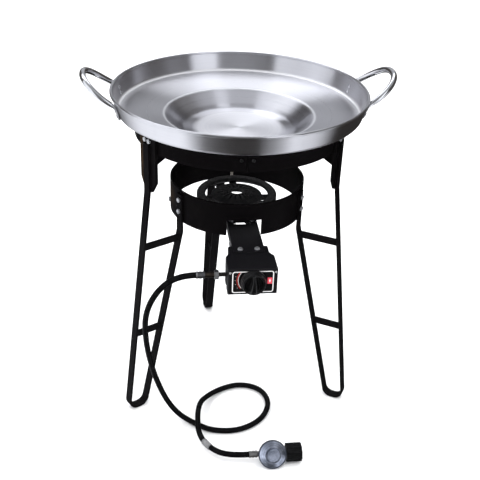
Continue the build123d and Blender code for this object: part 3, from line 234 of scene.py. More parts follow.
class Graph:
    """A node tree written as expressions."""

    def __init__(self, tree):
        self.tree = tree
        tree.nodes.clear()

    def node(self, kind, settings=None, sockets=None, give=0):
        made = self.tree.nodes.new(kind)
        for name, value in (settings or {}).items():
            setattr(made, name, value)
        for key, value in (sockets or {}).items():
            if isinstance(value, Wire):
                self.tree.links.new(value.socket, made.inputs[key])
            else:
                made.inputs[key].default_value = value
        return Wire(self, made.outputs[give]) if made.outputs else made

    def rest_place(self):
        """The point's place on the piece at rest, in metres."""
        return self.node("ShaderNodeTexCoord", give="Object")

    def split(self, vector):
        parts = self.node("ShaderNodeSeparateXYZ", None, {0: vector})
        outputs = parts.socket.node.outputs
        return tuple(Wire(self, outputs[k]) for k in range(3))

    def vector(self, operation, a, b):
        give = "Value" if operation in ("DOT_PRODUCT", "LENGTH") else "Vector"
        return self.node("ShaderNodeVectorMath", {"operation": operation}, {0: a, 1: b}, give)

    def noise(self, scale, detail=3.0, rough=0.55, stretch=None):
        place = self.rest_place()
        if stretch:
            place = self.vector("MULTIPLY", place, stretch)
        return self.node(
            "ShaderNodeTexNoise", None,
            {"Vector": place, "Scale": scale, "Detail": detail, "Roughness": rough})

    def noise_along(self, value, scale, detail=2.0, rough=0.6):
        """Noise that changes along one value alone, such as a spun groove's radius."""
        return self.node(
            "ShaderNodeTexNoise", {"noise_dimensions": "1D"},
            {"W": value, "Scale": scale, "Detail": detail, "Roughness": rough})

    def cells(self, scale):
        return self.node("ShaderNodeTexVoronoi", None, {"Vector": self.rest_place(), "Scale": scale})

    def mix(self, share, a, b):
        """Colour a where the share is 0, and b where it is 1."""
        return self.node("ShaderNodeMix", {"data_type": "RGBA"}, {0: share, 6: a, 7: b}, 2)

    def soft_edges(self, radius):
        return self.node("ShaderNodeBevel", {"samples": 4}, {"Radius": radius * mm})

    def edge_mask(self, radius):
        """Near 1 on outer and inner edges, 0 on open faces."""
        sharpness = 6.0
        bent = self.soft_edges(radius)
        flat = self.node("ShaderNodeNewGeometry", give="Normal")
        return ((1 - self.vector("DOT_PRODUCT", bent, flat)) * sharpness).least(1.0)

    def bump(self, height, distance, strength=1.0, under=None):
        sockets = {"Height": height, "Distance": distance * mm, "Strength": strength}
        if under:
            sockets["Normal"] = under
        return self.node("ShaderNodeBump", None, sockets)


def rgb(r, g, b):
    return (r, g, b, 1.0)


class Finish(Graph):
    """One material of the cooker."""

    def __init__(self, name):
        self.material = bpy.data.materials.new(name)
        self.material.use_nodes = True
        super().__init__(self.material.node_tree)

    def shader(self, **sockets):
        named = {key.replace("_", " "): value for key, value in sockets.items()}
        return self.node("ShaderNodeBsdfPrincipled", None, named)

    def output(self, shader):
        self.node("ShaderNodeOutputMaterial", None, {"Surface": shader})
        return self

    def surface(self, **sockets):
        return self.output(self.shader(**sockets))

    def place_mm(self):
        """The three rest coordinates in millimetres."""
        return tuple(part * 1000 for part in self.split(self.rest_place()))


def paint(finish, *names):
    for name in names:
        for holder in nodes[name].material_slots:
            holder.material = finish.material


# Finishes

def spun_steel():
    """Stainless sheet spun on a lathe: circular grooves, a burnished floor, painted highlight lines on its
    bends and painted reflections.

    Spans are radii from the pan's axis, in millimetres.
    """
    floor_edge, foot_curve, foot_lift = (90, 104), (86, 136), 16.0
    side_span, shelf_span = (102, 160), (169, 256)
    well_bend_span, wall_bend_start, wall_bend_end = (162.5, 167.0), (243, 259), (264, 266)
    well_highlight_span, wall_highlight_span = (163.0, 166.5), (259.0, 264.0)
    groove_turn = 0.25
    f = Finish("spun_steel")
    x, y, z = f.place_mm()
    radius = (x * x + y * y).root()
    along = radius + z * 0.9
    groove = f.noise_along(along, 3.1, 4.0, 0.7)
    band = f.noise_along(along, 0.12, 2.0)
    cloud = f.noise(9.0, 4.0)
    scuff = f.noise(60.0, 2.0, 0.5, (1.0, 1.0, 0.4)).step(0.62, 0.78)
    colour = f.mix(band, rgb(0.73, 0.73, 0.76), rgb(0.81, 0.81, 0.84))
    colour = f.mix(cloud.step(0.45, 0.75) * 0.25, colour, rgb(0.62, 0.62, 0.65))
    shelf = radius.band(*shelf_span, 3)
    # Painted reflections: the back of the shelf is painted lighter and its front darker.
    colour = f.mix(shelf * y.step(20, 190), colour, rgb(0.95, 0.95, 0.985))
    colour = f.mix(shelf * (1 - y.step(-40, 90)) * 0.5, colour, rgb(0.58, 0.58, 0.62))
    well_side = radius.band(*side_span, 4)
    well_back = well_side * (1 - abs(x).step(62, 112)) * y.step(15, 75)
    well_ends = well_side * abs(x).step(72, 122) * y.band(-45, 70, 25)
    # Painted reflections: the well's back wall is painted lighter and its two ends darker.
    colour = f.mix(well_back, colour, rgb(0.94, 0.94, 0.99))
    colour = f.mix(well_ends * 0.8, colour, rgb(0.42, 0.42, 0.45))
    rough = 0.25 + groove * 0.04 + band * 0.03 + scuff * 0.03
    round_foot = f.bump(radius.step(*foot_curve) * foot_lift, 1.0)
    normal = f.bump(groove, 0.02, 0.2, round_foot)
    spun = f.shader(
        Base_Color=colour, Metallic=1.0, Roughness=rough, Anisotropic=1.0, Anisotropic_Rotation=groove_turn,
        Normal=normal)
    inside = f.split(f.node("ShaderNodeNewGeometry", give="Normal"))[2].step(0.1, 0.5)
    # Painted highlight lines on the wall's bend and, fainter, the well's bend, stronger towards the back;
    # Metallic drops there so the top light shows pale.
    bend_highlight = radius.band(*wall_highlight_span, 2.0).most(radius.band(*well_highlight_span, 2.0) * 0.35) * inside
    bend_highlight = bend_highlight * (0.4 + 0.6 * y.step(-120, 140))
    # One shader for the burnished floor and for the painted highlight lines on the bends.
    burnished_and_highlight = f.shader(
        Base_Color=f.mix(band, rgb(0.90, 0.90, 0.93), rgb(0.97, 0.97, 0.99)), Metallic=1 - bend_highlight * 0.36,
        Roughness=rough + 0.22, Anisotropic=0.6, Anisotropic_Rotation=groove_turn, Normal=normal)
    floor = 1 - radius.step(*floor_edge)
    # The bend bands take the paler shader as painted highlight lines.
    well_bend = radius.band(*well_bend_span, 2.0) * 0.8
    wall_bend = radius.step(*wall_bend_start) * (1 - radius.step(*wall_bend_end)) * 0.85
    share = floor.most(well_bend).most(wall_bend)
    return f.output(f.node("ShaderNodeMixShader", None, {0: share, 1: spun, 2: burnished_and_highlight}))


def rod_steel():
    """Polished stainless rod with light drawing marks and a duller foot where it was pressed flat."""
    foot_top = (728, 740)
    f = Finish("rod_steel")
    z = f.place_mm()[2]
    foot = 1 - z.step(*foot_top)
    draw = f.noise(420.0, 3.0, 0.6, (0.3, 1.0, 0.3))
    smear = f.noise(38.0, 3.0)
    colour = f.mix(smear.step(0.4, 0.7) * 0.4, rgb(0.80, 0.80, 0.82), rgb(0.62, 0.62, 0.64))
    rough = 0.07 + draw * 0.07 + foot * 0.12
    return f.surface(
        Base_Color=colour, Metallic=1.0, Roughness=rough, Normal=f.bump(draw, 0.02, 0.3, f.soft_edges(0.5)))


def stand_enamel():
    """Black baked enamel on flat bar: an orange-peel skin worn along its edges, with a painted warm brown
    reflection.

    The painted reflection lies on the brackets' outer faces and the left end of the lower ring.
    """
    bracket_face, bracket_span = (230.0, 236.5), (556, 690)
    ring_face, ring_span, ring_end_x = (151.0, 154.0), (490, 530), (-152.5, -140)
    f = Finish("stand_enamel")
    peel = f.noise(900.0, 2.0, 0.5)
    flow = f.noise(55.0, 3.0)
    dust = f.noise(16.0, 4.0, 0.6).step(0.52, 0.78)
    edge = f.edge_mask(1.1)
    worn = edge * f.noise(130.0, 3.0, 0.65).step(0.5, 0.7)
    x, y, z = f.place_mm()
    radius = (x * x + y * y).root()
    bracket = radius.band(*bracket_face, 0.6) * z.band(*bracket_span, 3) * y.step(-114, -106)
    ring_end = radius.band(*ring_face, 0.6) * z.band(*ring_span, 18) * (1 - x.step(*ring_end_x)) * 0.8
    # Painted warm brown reflection on those faces, broken up by noise.
    warm_reflection = bracket.most(ring_end) * (0.45 + 0.55 * f.noise(24.0, 3.0).step(0.3, 0.7))
    # Darker above 450–475 mm: the rings, the brackets and the upper legs.
    skin = f.mix(z.step(450, 475), rgb(0.0060, 0.0056, 0.0060), rgb(0.0036, 0.0031, 0.0035))
    colour = f.mix(dust * 0.35, skin, rgb(0.011, 0.010, 0.009))
    colour = f.mix(worn * 0.55, colour, rgb(0.040, 0.038, 0.036))
    colour = f.mix(warm_reflection, colour, rgb(0.033, 0.020, 0.010))
    rough = 0.34 + flow * 0.16 + dust * 0.12 - edge * 0.06
    return f.surface(
        Base_Color=colour, Roughness=rough, Specular_IOR_Level=0.01,
        Normal=f.bump(peel * 0.7 + flow * 0.5, 0.05, 0.35, f.soft_edges(0.9)))


def bright_zinc():
    """Zinc-plated fasteners, faintly blue, with a fine grain from the barrel."""
    f = Finish("bright_zinc")
    grain = f.noise(1400.0, 2.0)
    stain = f.noise(160.0, 3.0)
    colour = f.mix(stain.step(0.35, 0.75), rgb(0.50, 0.51, 0.53), rgb(0.20, 0.20, 0.21))
    rough = 0.2 + grain * 0.14 + stain * 0.08
    return f.surface(
        Base_Color=colour, Metallic=0.7, Roughness=rough, Normal=f.bump(grain, 0.03, 0.3, f.soft_edges(0.4)))


def nickel_screw():
    """Small pale plated screw, dulled by handling."""
    f = Finish("nickel_screw")
    grain = f.noise(1800.0, 2.0)
    stain = f.noise(300.0, 3.0)
    colour = f.mix(stain.step(0.4, 0.75), rgb(0.52, 0.52, 0.51), rgb(0.30, 0.30, 0.30))
    return f.surface(
        Base_Color=colour, Metallic=0.3, Roughness=0.28 + grain * 0.14,
        Normal=f.bump(grain, 0.02, 0.3, f.soft_edges(0.2)))


def painted_bolt():
    """Bolt painted in with the band, the paint rubbed thin on its crown."""
    f = Finish("painted_bolt")
    rub = f.noise(420.0, 3.0, 0.6).step(0.5, 0.72)
    edge = f.edge_mask(0.8)
    bare = (rub * 0.35 + edge * 0.15).least(1.0)
    colour = f.mix(bare, rgb(0.005, 0.005, 0.0055), rgb(0.16, 0.16, 0.165))
    return f.surface(
        Base_Color=colour, Roughness=0.34 + rub * 0.12, Specular_IOR_Level=0.3,
        Normal=f.bump(rub, 0.03, 0.3, f.soft_edges(0.5)))


def cast_iron():
    """Sand-cast burner under a thin black wash, turned smoother on its top."""
    top_start = (497.0, 499.5)
    f = Finish("cast_iron")
    x, y, z = f.place_mm()
    radius = (x * x + y * y).root()
    sand = f.noise(850.0, 4.0, 0.7)
    lump = f.noise(150.0, 3.0)
    pit = f.cells(700.0)
    top = z.step(*top_start)
    turned_top = f.noise_along(radius, 1.4, 2.0)
    colour = f.mix(lump.step(0.35, 0.7), rgb(0.010, 0.010, 0.011), rgb(0.026, 0.025, 0.025))
    colour = f.mix(top * 0.5, colour, rgb(0.045, 0.044, 0.044))
    rough = 0.58 + sand * 0.24 - top * turned_top * 0.12
    height = sand * 0.8 + lump * 0.6 - pit.step(0.0, 0.5) * 0.25
    return f.surface(
        Base_Color=colour, Roughness=rough, Specular_IOR_Level=0.4,
        Normal=f.bump(height, 0.12, 0.45, f.soft_edges(0.6)))


def box_enamel():
    """Satin black on folded sheet, a finer and flatter skin than the stand's."""
    f = Finish("box_enamel")
    peel = f.noise(1500.0, 2.0)
    wave = f.noise(30.0, 2.0)
    speck = f.noise(420.0, 3.0, 0.7).step(0.66, 0.8)
    edge = f.edge_mask(0.8)
    colour = f.mix(speck * 0.3, rgb(0.0054, 0.0051, 0.0063), rgb(0.015, 0.015, 0.016))
    colour = f.mix(edge * 0.35, colour, rgb(0.022, 0.022, 0.023))
    rough = 0.36 + wave * 0.14 + speck * 0.1
    return f.surface(
        Base_Color=colour, Roughness=rough, Specular_IOR_Level=0.24,
        Normal=f.bump(peel * 0.6 + wave, 0.03, 0.35, f.soft_edges(0.7)))


def dial_print():
    """Gloss black plate with a white border, a red flame arc beside a white one, and a plain spark mark."""
    face_front, plate_height, knob_height = (-311.75, -311.55), 449.5, 454.0
    half_wide, half_high, corner = 41.0, 23.9, 4.5
    arc_start, arc_end, arc_soft = -0.66, 0.62, 0.03
    red_radius, white_radius, tick_span, tick_turn = 32.2, 29.8, (35.4, 36.8), 0.128
    mark_side, mark_height = 34.2, 451.5
    f = Finish("dial_print")
    x, y, z = f.place_mm()
    front = 1 - y.step(*face_front)
    past_x, past_z = abs(x) - (half_wide - corner), abs(z - plate_height) - (half_high - corner)
    out_x, out_z = past_x.most(0.0), past_z.most(0.0)
    border_off = (out_x * out_x + out_z * out_z).root() + past_x.most(past_z).least(0.0) - corner
    border = 1 - abs(border_off).step(0.85, 1.15)
    knob_z = z - knob_height
    reach = (x * x + knob_z * knob_z).root()
    angle = f.node("ShaderNodeMath", {"operation": "ARCTAN2"}, {0: knob_z, 1: -x})
    swing = angle.band(arc_start, arc_end, arc_soft)
    grow = angle.step(arc_start, arc_end) * 0.4
    red_arc = swing * (1 - abs(reach - red_radius).step(0.35 + grow, 0.6 + grow))
    white_arc = swing * (1 - abs(reach - white_radius).step(0.35, 0.6))
    tick_angle = angle.wrapped(-tick_turn, tick_turn)
    ticks = swing * (1 - abs(tick_angle * reach).step(0.35, 0.5)) * reach.band(*tick_span, 0.15)
    mark_x, mark_z = abs(x - mark_side), abs(z - mark_height)
    square = (1 - mark_x.step(4.6, 4.9)) * (1 - mark_z.step(7.2, 7.5))
    spark = 1 - (mark_x * 1.5 + mark_z * 0.55).step(2.6, 3.0)
    noise = f.noise(700.0, 2.0)
    colour = f.mix(noise.step(0.3, 0.8), rgb(0.003, 0.003, 0.0034), rgb(0.007, 0.007, 0.0077))
    for print_share, ink_colour in (
            (border, rgb(0.80, 0.79, 0.78)), (red_arc, rgb(0.48, 0.028, 0.022)),
            (white_arc * 0.9, rgb(0.78, 0.74, 0.71)), (ticks * 0.8, rgb(0.70, 0.66, 0.64)),
            (square, rgb(0.78, 0.07, 0.10)), (square * spark, rgb(0.86, 0.72, 0.72))):
        colour = f.mix(front * print_share, colour, ink_colour)
    ink = front * border.most(red_arc).most(white_arc).most(square)
    return f.surface(
        Base_Color=colour, Roughness=0.24 + noise * 0.12 + ink * 0.2, Specular_IOR_Level=0.25,
        Normal=f.bump(ink + noise * 0.2, 0.04, 0.4))


def knob_plastic():
    """Moulded black plastic: a fine spark-eroded skin, polished by fingers on the grip."""
    grip_face = (-337.0, -334.0)
    f = Finish("knob_plastic")
    y = f.place_mm()[1]
    skin = f.noise(2600.0, 2.0, 0.6)
    touch = f.noise(90.0, 3.0)
    grip = 1 - y.step(*grip_face)
    edge = f.edge_mask(0.7)
    colour = f.mix(touch.step(0.4, 0.8), rgb(0.0034, 0.0034, 0.0036), rgb(0.007, 0.007, 0.0073))
    colour = f.mix(edge * 0.3, colour, rgb(0.02, 0.02, 0.021))
    rough = 0.22 + skin * 0.14 - grip * 0.06
    return f.surface(
        Base_Color=colour, Roughness=rough, Specular_IOR_Level=0.22, Coat_Weight=0.12, Coat_Roughness=0.12,
        Normal=f.bump(skin, 0.03, 0.4, f.soft_edges(0.6)))


def valve_cast():
    """Die-cast valve body, grey with a dull bloom."""
    f = Finish("valve_cast")
    bloom = f.noise(70.0, 4.0)
    grain = f.noise(1100.0, 3.0)
    colour = f.mix(bloom.step(0.35, 0.7), rgb(0.42, 0.41, 0.39), rgb(0.27, 0.26, 0.25))
    return f.surface(
        Base_Color=colour, Metallic=0.9, Roughness=0.36 + grain * 0.2,
        Normal=f.bump(grain, 0.06, 0.4, f.soft_edges(0.5)))


def gas_brass():
    """Turned brass, browned a little where the gas line is handled."""
    f = Finish("gas_brass")
    x = f.place_mm()[0]
    tool = f.noise_along(x, 5.0, 2.0)
    tarnish = f.noise(120.0, 4.0, 0.6)
    colour = f.mix(tarnish.step(0.35, 0.72), rgb(0.30, 0.20, 0.10), rgb(0.10, 0.06, 0.035))
    return f.surface(
        Base_Color=colour, Metallic=1.0, Roughness=0.24 + tool * 0.12 + tarnish * 0.12,
        Normal=f.bump(tool, 0.03, 0.3, f.soft_edges(0.4)))


def dark_pipe():
    """Blackened inlet pipe, drawn along its length and rubbed a little on top."""
    f = Finish("dark_pipe")
    draw = f.noise(600.0, 3.0, 0.6, (0.1, 1.0, 1.0))
    rub = f.noise(90.0, 3.0).step(0.45, 0.75)
    colour = f.mix(rub * 0.6, rgb(0.020, 0.018, 0.017), rgb(0.060, 0.052, 0.046))
    return f.surface(
        Base_Color=colour, Metallic=0.6, Roughness=0.34 + draw * 0.14,
        Normal=f.bump(draw, 0.03, 0.3, f.soft_edges(0.4)))


def inlet_nut_plate():
    """Plated hexagon nut with turned faces."""
    f = Finish("inlet_nut_plate")
    x = f.place_mm()[0]
    tool = f.noise_along(x, 4.0, 2.0)
    stain = f.noise(200.0, 3.0)
    colour = f.mix(stain.step(0.4, 0.75), rgb(0.46, 0.46, 0.46), rgb(0.22, 0.21, 0.20))
    return f.surface(
        Base_Color=colour, Metallic=1.0, Roughness=0.24 + tool * 0.12,
        Normal=f.bump(tool, 0.03, 0.3, f.soft_edges(0.4)))


def inlet_ferrule():
    """The inlet's hose end: a browned brass tail, then a grey crimped ferrule with a painted highlight on its
    lip at the hose.
    """
    tail_start, lip_end = (-94.3, -93.9), (-109.5, -109.0)
    f = Finish("inlet_ferrule")
    x = f.place_mm()[0]
    tail = x.step(*tail_start)
    lip = 1 - x.step(*lip_end)
    grain = f.noise(900.0, 3.0)
    stain = f.noise(150.0, 4.0)
    grey = f.mix(stain.step(0.35, 0.75), rgb(0.25, 0.25, 0.26), rgb(0.13, 0.13, 0.135))
    # The lip at the hose is painted bright as a highlight.
    grey = f.mix(lip, grey, rgb(0.62, 0.62, 0.62))
    brown = f.mix(stain.step(0.35, 0.75), rgb(0.095, 0.076, 0.062), rgb(0.050, 0.040, 0.034))
    colour = f.mix(tail, grey, brown)
    rough = 0.34 + grain * 0.16 - lip * 0.14
    return f.surface(
        Base_Color=colour, Metallic=1.0, Roughness=rough, Normal=f.bump(grain, 0.04, 0.3, f.soft_edges(0.4)))


def crimp_steel():
    """Plated ferrule pressed on the hose, with painted shade in its crimp marks."""
    crimp_turn = 1.35
    f = Finish("crimp_steel")
    x = f.place_mm()[0]
    press = abs((x * crimp_turn).sine()).step(0.15, 0.5)
    stain = f.noise(260.0, 3.0)
    # The crimp marks are painted dark as shade; the same mask also gives their bump.
    colour = f.mix(press, rgb(0.09, 0.09, 0.09), rgb(0.46, 0.45, 0.44))
    colour = f.mix(stain.step(0.5, 0.75) * 0.5, colour, rgb(0.22, 0.21, 0.20))
    return f.surface(
        Base_Color=colour, Metallic=1.0, Roughness=0.24 + stain * 0.18,
        Normal=f.bump(press, 0.15, 0.5, f.soft_edges(0.4)))


def white_ceramic():
    """Glazed insulator, smoked towards its tip."""
    smoke_start = (476.0, 500.0)
    f = Finish("white_ceramic")
    z = f.place_mm()[2]
    smoke = z.step(*smoke_start) * (0.55 + 0.45 * f.noise(220.0, 3.0))
    colour = f.mix(smoke, rgb(0.80, 0.77, 0.71), rgb(0.30, 0.25, 0.20))
    speck = f.noise(900.0, 2.0)
    return f.surface(Base_Color=colour, Roughness=0.18 + speck * 0.12, Normal=f.bump(speck, 0.02, 0.2))


def hose_rubber():
    """Black extruded rubber with a fine skin and a dusting from the floor."""
    dust_height = 14.0
    f = Finish("hose_rubber")
    z = f.place_mm()[2]
    skin = f.noise(1800.0, 2.0)
    bloom = f.noise(60.0, 4.0)
    low = 1 - z.step(0.0, dust_height)
    dust = low * f.noise(240.0, 3.0).step(0.45, 0.75)
    colour = f.mix(bloom.step(0.4, 0.75), rgb(0.0032, 0.0032, 0.0035), rgb(0.0058, 0.0058, 0.0062))
    colour = f.mix(dust * 0.25, colour, rgb(0.04, 0.039, 0.037))
    return f.surface(
        Base_Color=colour, Roughness=0.22 + bloom * 0.12 + dust * 0.2, Specular_IOR_Level=0.03,
        Normal=f.bump(skin, 0.03, 0.3))


def sleeve_grey():
    """Grey shrink sleeve, slightly wrinkled."""
    f = Finish("sleeve_grey")
    wrinkle = f.noise(500.0, 3.0)
    bloom = f.noise(90.0, 3.0)
    colour = f.mix(bloom.step(0.35, 0.75), rgb(0.12, 0.12, 0.125), rgb(0.23, 0.23, 0.235))
    return f.surface(Base_Color=colour, Roughness=0.42 + bloom * 0.15, Normal=f.bump(wrinkle, 0.12, 0.4))


def regulator_cast():
    """Blue-grey zinc casting with rings turned about the face's axis, dark at its rim, with painted shade in
    its turned grooves and round its pit.
    """
    centre = Vector((55.0, -350.0, 21.2)) * mm
    axis = Vector((0.0, -0.848, 0.529)).normalized()
    face_start, rim_start, pit_shade_span, groove_radii = (14.5, 15.5), (28.6, 29.6), (15.2, 17.6), (21.5, 25.0)
    f = Finish("regulator_cast")
    offset = f.vector("SUBTRACT", f.rest_place(), tuple(centre))
    depth = f.vector("DOT_PRODUCT", offset, tuple(axis)) * 1000
    reach = f.vector("LENGTH", offset, (0.0, 0.0, 0.0)) * 1000
    radius = (reach * reach - depth * depth).most(0.0).root()
    turned_lines = f.noise_along(radius, 1.6, 3.0)
    grain = f.noise(900.0, 3.0)
    bloom = f.noise(55.0, 4.0)
    inner_groove, outer_groove = (1 - abs(radius - r).step(0.3, 0.8) for r in groove_radii)
    face = depth.step(*face_start)
    groove = (inner_groove + outer_groove) * face
    colour = f.mix(bloom.step(0.3, 0.7), rgb(0.58, 0.63, 0.76), rgb(0.25, 0.28, 0.36))
    # The turned grooves are painted darker as shade.
    colour = f.mix(groove * 0.5, colour, rgb(0.16, 0.17, 0.20))
    rim = radius.step(*rim_start)
    pit = radius.band(*pit_shade_span, 0.4) * face
    # Round the pit the colour is painted darker as shade; the rim is made dark as well.
    colour = f.mix(rim.most(pit * 0.6) * 0.8, colour, rgb(0.055, 0.060, 0.075))
    rough = 0.20 + grain * 0.16 + turned_lines * 0.08
    height = turned_lines * 0.4 + grain * 0.3 - groove
    return f.surface(
        Base_Color=colour, Metallic=0.85, Roughness=rough,
        Normal=f.bump(height, 0.12, 0.45, f.soft_edges(0.5)))


def coupling_plastic():
    """Black moulded nut, matt, paler along its ribs from handling."""
    f = Finish("coupling_plastic")
    skin = f.noise(1900.0, 3.0, 0.65)
    touch = f.noise(140.0, 3.0)
    edge = f.edge_mask(1.0)
    colour = f.mix(touch.step(0.4, 0.8), rgb(0.0038, 0.0038, 0.0042), rgb(0.0068, 0.0068, 0.0072))
    colour = f.mix(edge * 0.4, colour, rgb(0.018, 0.018, 0.019))
    return f.surface(
        Base_Color=colour, Roughness=0.40 + skin * 0.18, Specular_IOR_Level=0.07,
        Normal=f.bump(skin, 0.06, 0.4, f.soft_edges(0.6)))


rod = rod_steel()
enamel = stand_enamel()
zinc = bright_zinc()
rubber = hose_rubber()
paint(spun_steel(), "pan")
paint(rod, "handle_rivets")
paint(enamel, "upper_ring", "lower_ring", "band_strap", "burner_support", "leg_back", "leg_left", "leg_right",
      "leg_bracket_back", "leg_bracket_left", "leg_bracket_right", "rungs_back", "rungs_left", "rungs_right")
paint(zinc, "burner_screws", "leg_bolts_upper", "leg_bolts_lower", "leg_nuts_upper", "leg_nuts_lower",
      "panel_nut", "strap_nuts", "support_bolts", "support_nuts", "valve_bracket",
      "air_shutter_left", "air_shutter_right", "valve_stem", "stem_collar", "electrode_wire")
paint(painted_bolt(), "strap_bolts")
paint(cast_iron(), "burner_casting", "centre_cap")
paint(box_enamel(), "control_box", "heat_shield", "piezo_igniter")
paint(dial_print(), "dial_plate")
paint(valve_cast(), "valve_body")
paint(gas_brass(), "injectors", "inlet_nipple")
paint(dark_pipe(), "inlet_pipe")
paint(inlet_nut_plate(), "swivel_nut")
paint(inlet_ferrule(), "valve_ferrule")
paint(crimp_steel(), "regulator_ferrule")
paint(white_ceramic(), "electrode_insulator")
paint(rubber, "ignition_lead")
paint(regulator_cast(), "regulator_body", "regulator_cover", "regulator_cap")
paint(coupling_plastic(), "coupling_nut")


# Pan handles: round bars bent into oval loops, with both ends pressed flat on the pan's wall. In millimetres.

loop_half, loop_reach, loop_power, loop_sag = 72.5, 85.5, 2.3, 3.0
loop_root, loop_height, loop_rise = 264.0, 730.0, math.radians(36.5)
loop_start, loop_steps = 0.13, 28
pad_turn, wall_lean = math.radians(15.5), math.radians(15.35)
pad_radius, pad_height, pad_lift = 270.35, 718.74, 1.95
pad_outline = (
    (-14.6, 5.0), (-13.6, 7.0), (-12.0, 8.1), (-10.0, 8.5), (-4.0, 8.5), (1.0, 8.5), (5.0, 8.3))
pad_half_thick, pad_squareness, round_section = 1.75, 4.0, 2.0
neck_start, neck_bend, neck_width, neck_steps = 6.0, 12.0, 8.2, 8
rod_half, rod_swell = 5.6, 1.3


def handle_half():
    """One half of the right handle, from its flat end to its tip.

    Each section is a place, a thickness direction, half a width, half a thickness and a squareness.
    """
    up = Vector((0, 0, 1))
    radial = Vector((math.cos(pad_turn), math.sin(pad_turn), 0))
    out = radial * math.cos(wall_lean) - up * math.sin(wall_lean)
    along = radial * math.sin(wall_lean) + up * math.cos(wall_lean)
    pad = radial * pad_radius + up * pad_height + out * pad_lift
    away_axis = Vector((math.cos(loop_rise), 0, math.sin(loop_rise)))
    under = Vector((math.sin(loop_rise), 0, -math.cos(loop_rise)))

    def on_loop(angle):
        across = loop_half * max(math.cos(angle), 0.0) ** (2 / loop_power)
        away = loop_reach * math.sin(angle) ** (2 / loop_power)
        drop = loop_sag * math.sin(math.pi * away / loop_reach)
        return Vector((loop_root, across, loop_height - drop)) + away_axis * away, away

    sections = [(pad + along * run, out, width, pad_half_thick, pad_squareness) for run, width in pad_outline]
    first, bend, last = pad + along * neck_start, pad + along * neck_bend, on_loop(loop_start)[0]
    for k in range(neck_steps):
        b = k / neck_steps
        place = first * (1 - b) ** 2 + bend * (2 * b * (1 - b)) + last * b * b
        width = neck_width + (rod_half - neck_width) * b
        thick = pad_half_thick + (rod_half - pad_half_thick) * b * b
        squareness = pad_squareness + (round_section - pad_squareness) * b
        sections.append((place, out.lerp(under, b), width, thick, squareness))
    for k in range(loop_steps + 1):
        place, away = on_loop(loop_start + (math.pi / 2 - loop_start) * k / loop_steps)
        stout = rod_half + rod_swell * math.sin(math.pi / 2 * away / loop_reach)
        sections.append((place, under, stout, stout, round_section))
    return sections


def pan_handle(name, side, sides=28):
    near = handle_half()
    flip = Vector((1, -1, 1))
    far = [(place * flip, thick * flip, *rest) for place, thick, *rest in reversed(near[:-1])]
    whole = near + far
    form = bmesh.new()
    rings = []
    for k, (place, thick, width, depth, power) in enumerate(whole):
        before, after = whole[max(k - 1, 0)][0], whole[min(k + 1, len(whole) - 1)][0]
        ahead = (after - before).normalized()
        thick = (thick - ahead * thick.dot(ahead)).normalized()
        wide = ahead.cross(thick)
        ring = []
        for j in range(sides):
            c, s = math.cos(2 * math.pi * j / sides), math.sin(2 * math.pi * j / sides)
            u = math.copysign(abs(c) ** (2 / power), c) * width
            v = math.copysign(abs(s) ** (2 / power), s) * depth
            point = place + wide * u + thick * v
            ring.append(form.verts.new(Vector((point.x * side, point.y * side, point.z)) * mm))
        rings.append(ring)
    close_tube(form, rings)
    return add_piece(name, mesh_of(name, form), "pan", rod)


for side_name, side in (("left", -1), ("right", 1)):
    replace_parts(pan_handle(f"handle_loop_{side_name}", side), f"handle_{side_name}")


# Knob: a round body with a finger pocket each side of a crowned bar, and a pointer rib at the top.
# In millimetres.

knob_axis_height = 454.0
knob_back_face = -316.2
face_depth, face_ring_step, face_ring_count = 17.0, 0.55, 39
bar_half_width, bar_taper, bar_rise, bar_reach = 6.3, 0.15, 6.5, 20.5
pocket_depth, pocket_reach, pocket_side, pocket_end = 6.5, 16.4, 4.0, 4.2
rib_half_turn, rib_soft_turn = 0.08, 0.06
side_rib_rise, side_rib_low, side_rib_high, side_rib_inside = 0.8, 7.0, 16.9, 20.0
face_rib_rise, face_rib_start, face_rib_soft = 0.7, 15.5, 1.5
knob_side = [
    (22.5, 16.75), (23.1, 16.1), (23.4, 15.2), (23.9, 11.0), (24.4, 7.2), (24.9, 6.3), (25.6, 5.7),
    (26.0, 4.9), (26.0, 1.2), (25.7, 0.4), (25.0, 0.0), (14.4, 0.0), (14.0, 0.4), (14.0, 8.0), (4.1, 8.0),
]


def soft_step(value):
    value = min(max(value, 0.0), 1.0)
    return value * value * (3 - 2 * value)


def knob_face(x, z):
    """How far the knob's face stands out from its back at a place on it."""
    bar_half = bar_half_width - bar_taper * z
    beside = soft_step((abs(x) - bar_half) / pocket_side)
    inside = 1 - soft_step((math.hypot(x, z) - pocket_reach) / pocket_end)
    crown = (1 - min(abs(x) / bar_half, 1.0) ** 4) * math.sqrt(max(0.0, 1 - (z / bar_reach) ** 2))
    return face_depth - pocket_depth * beside * inside + bar_rise * crown


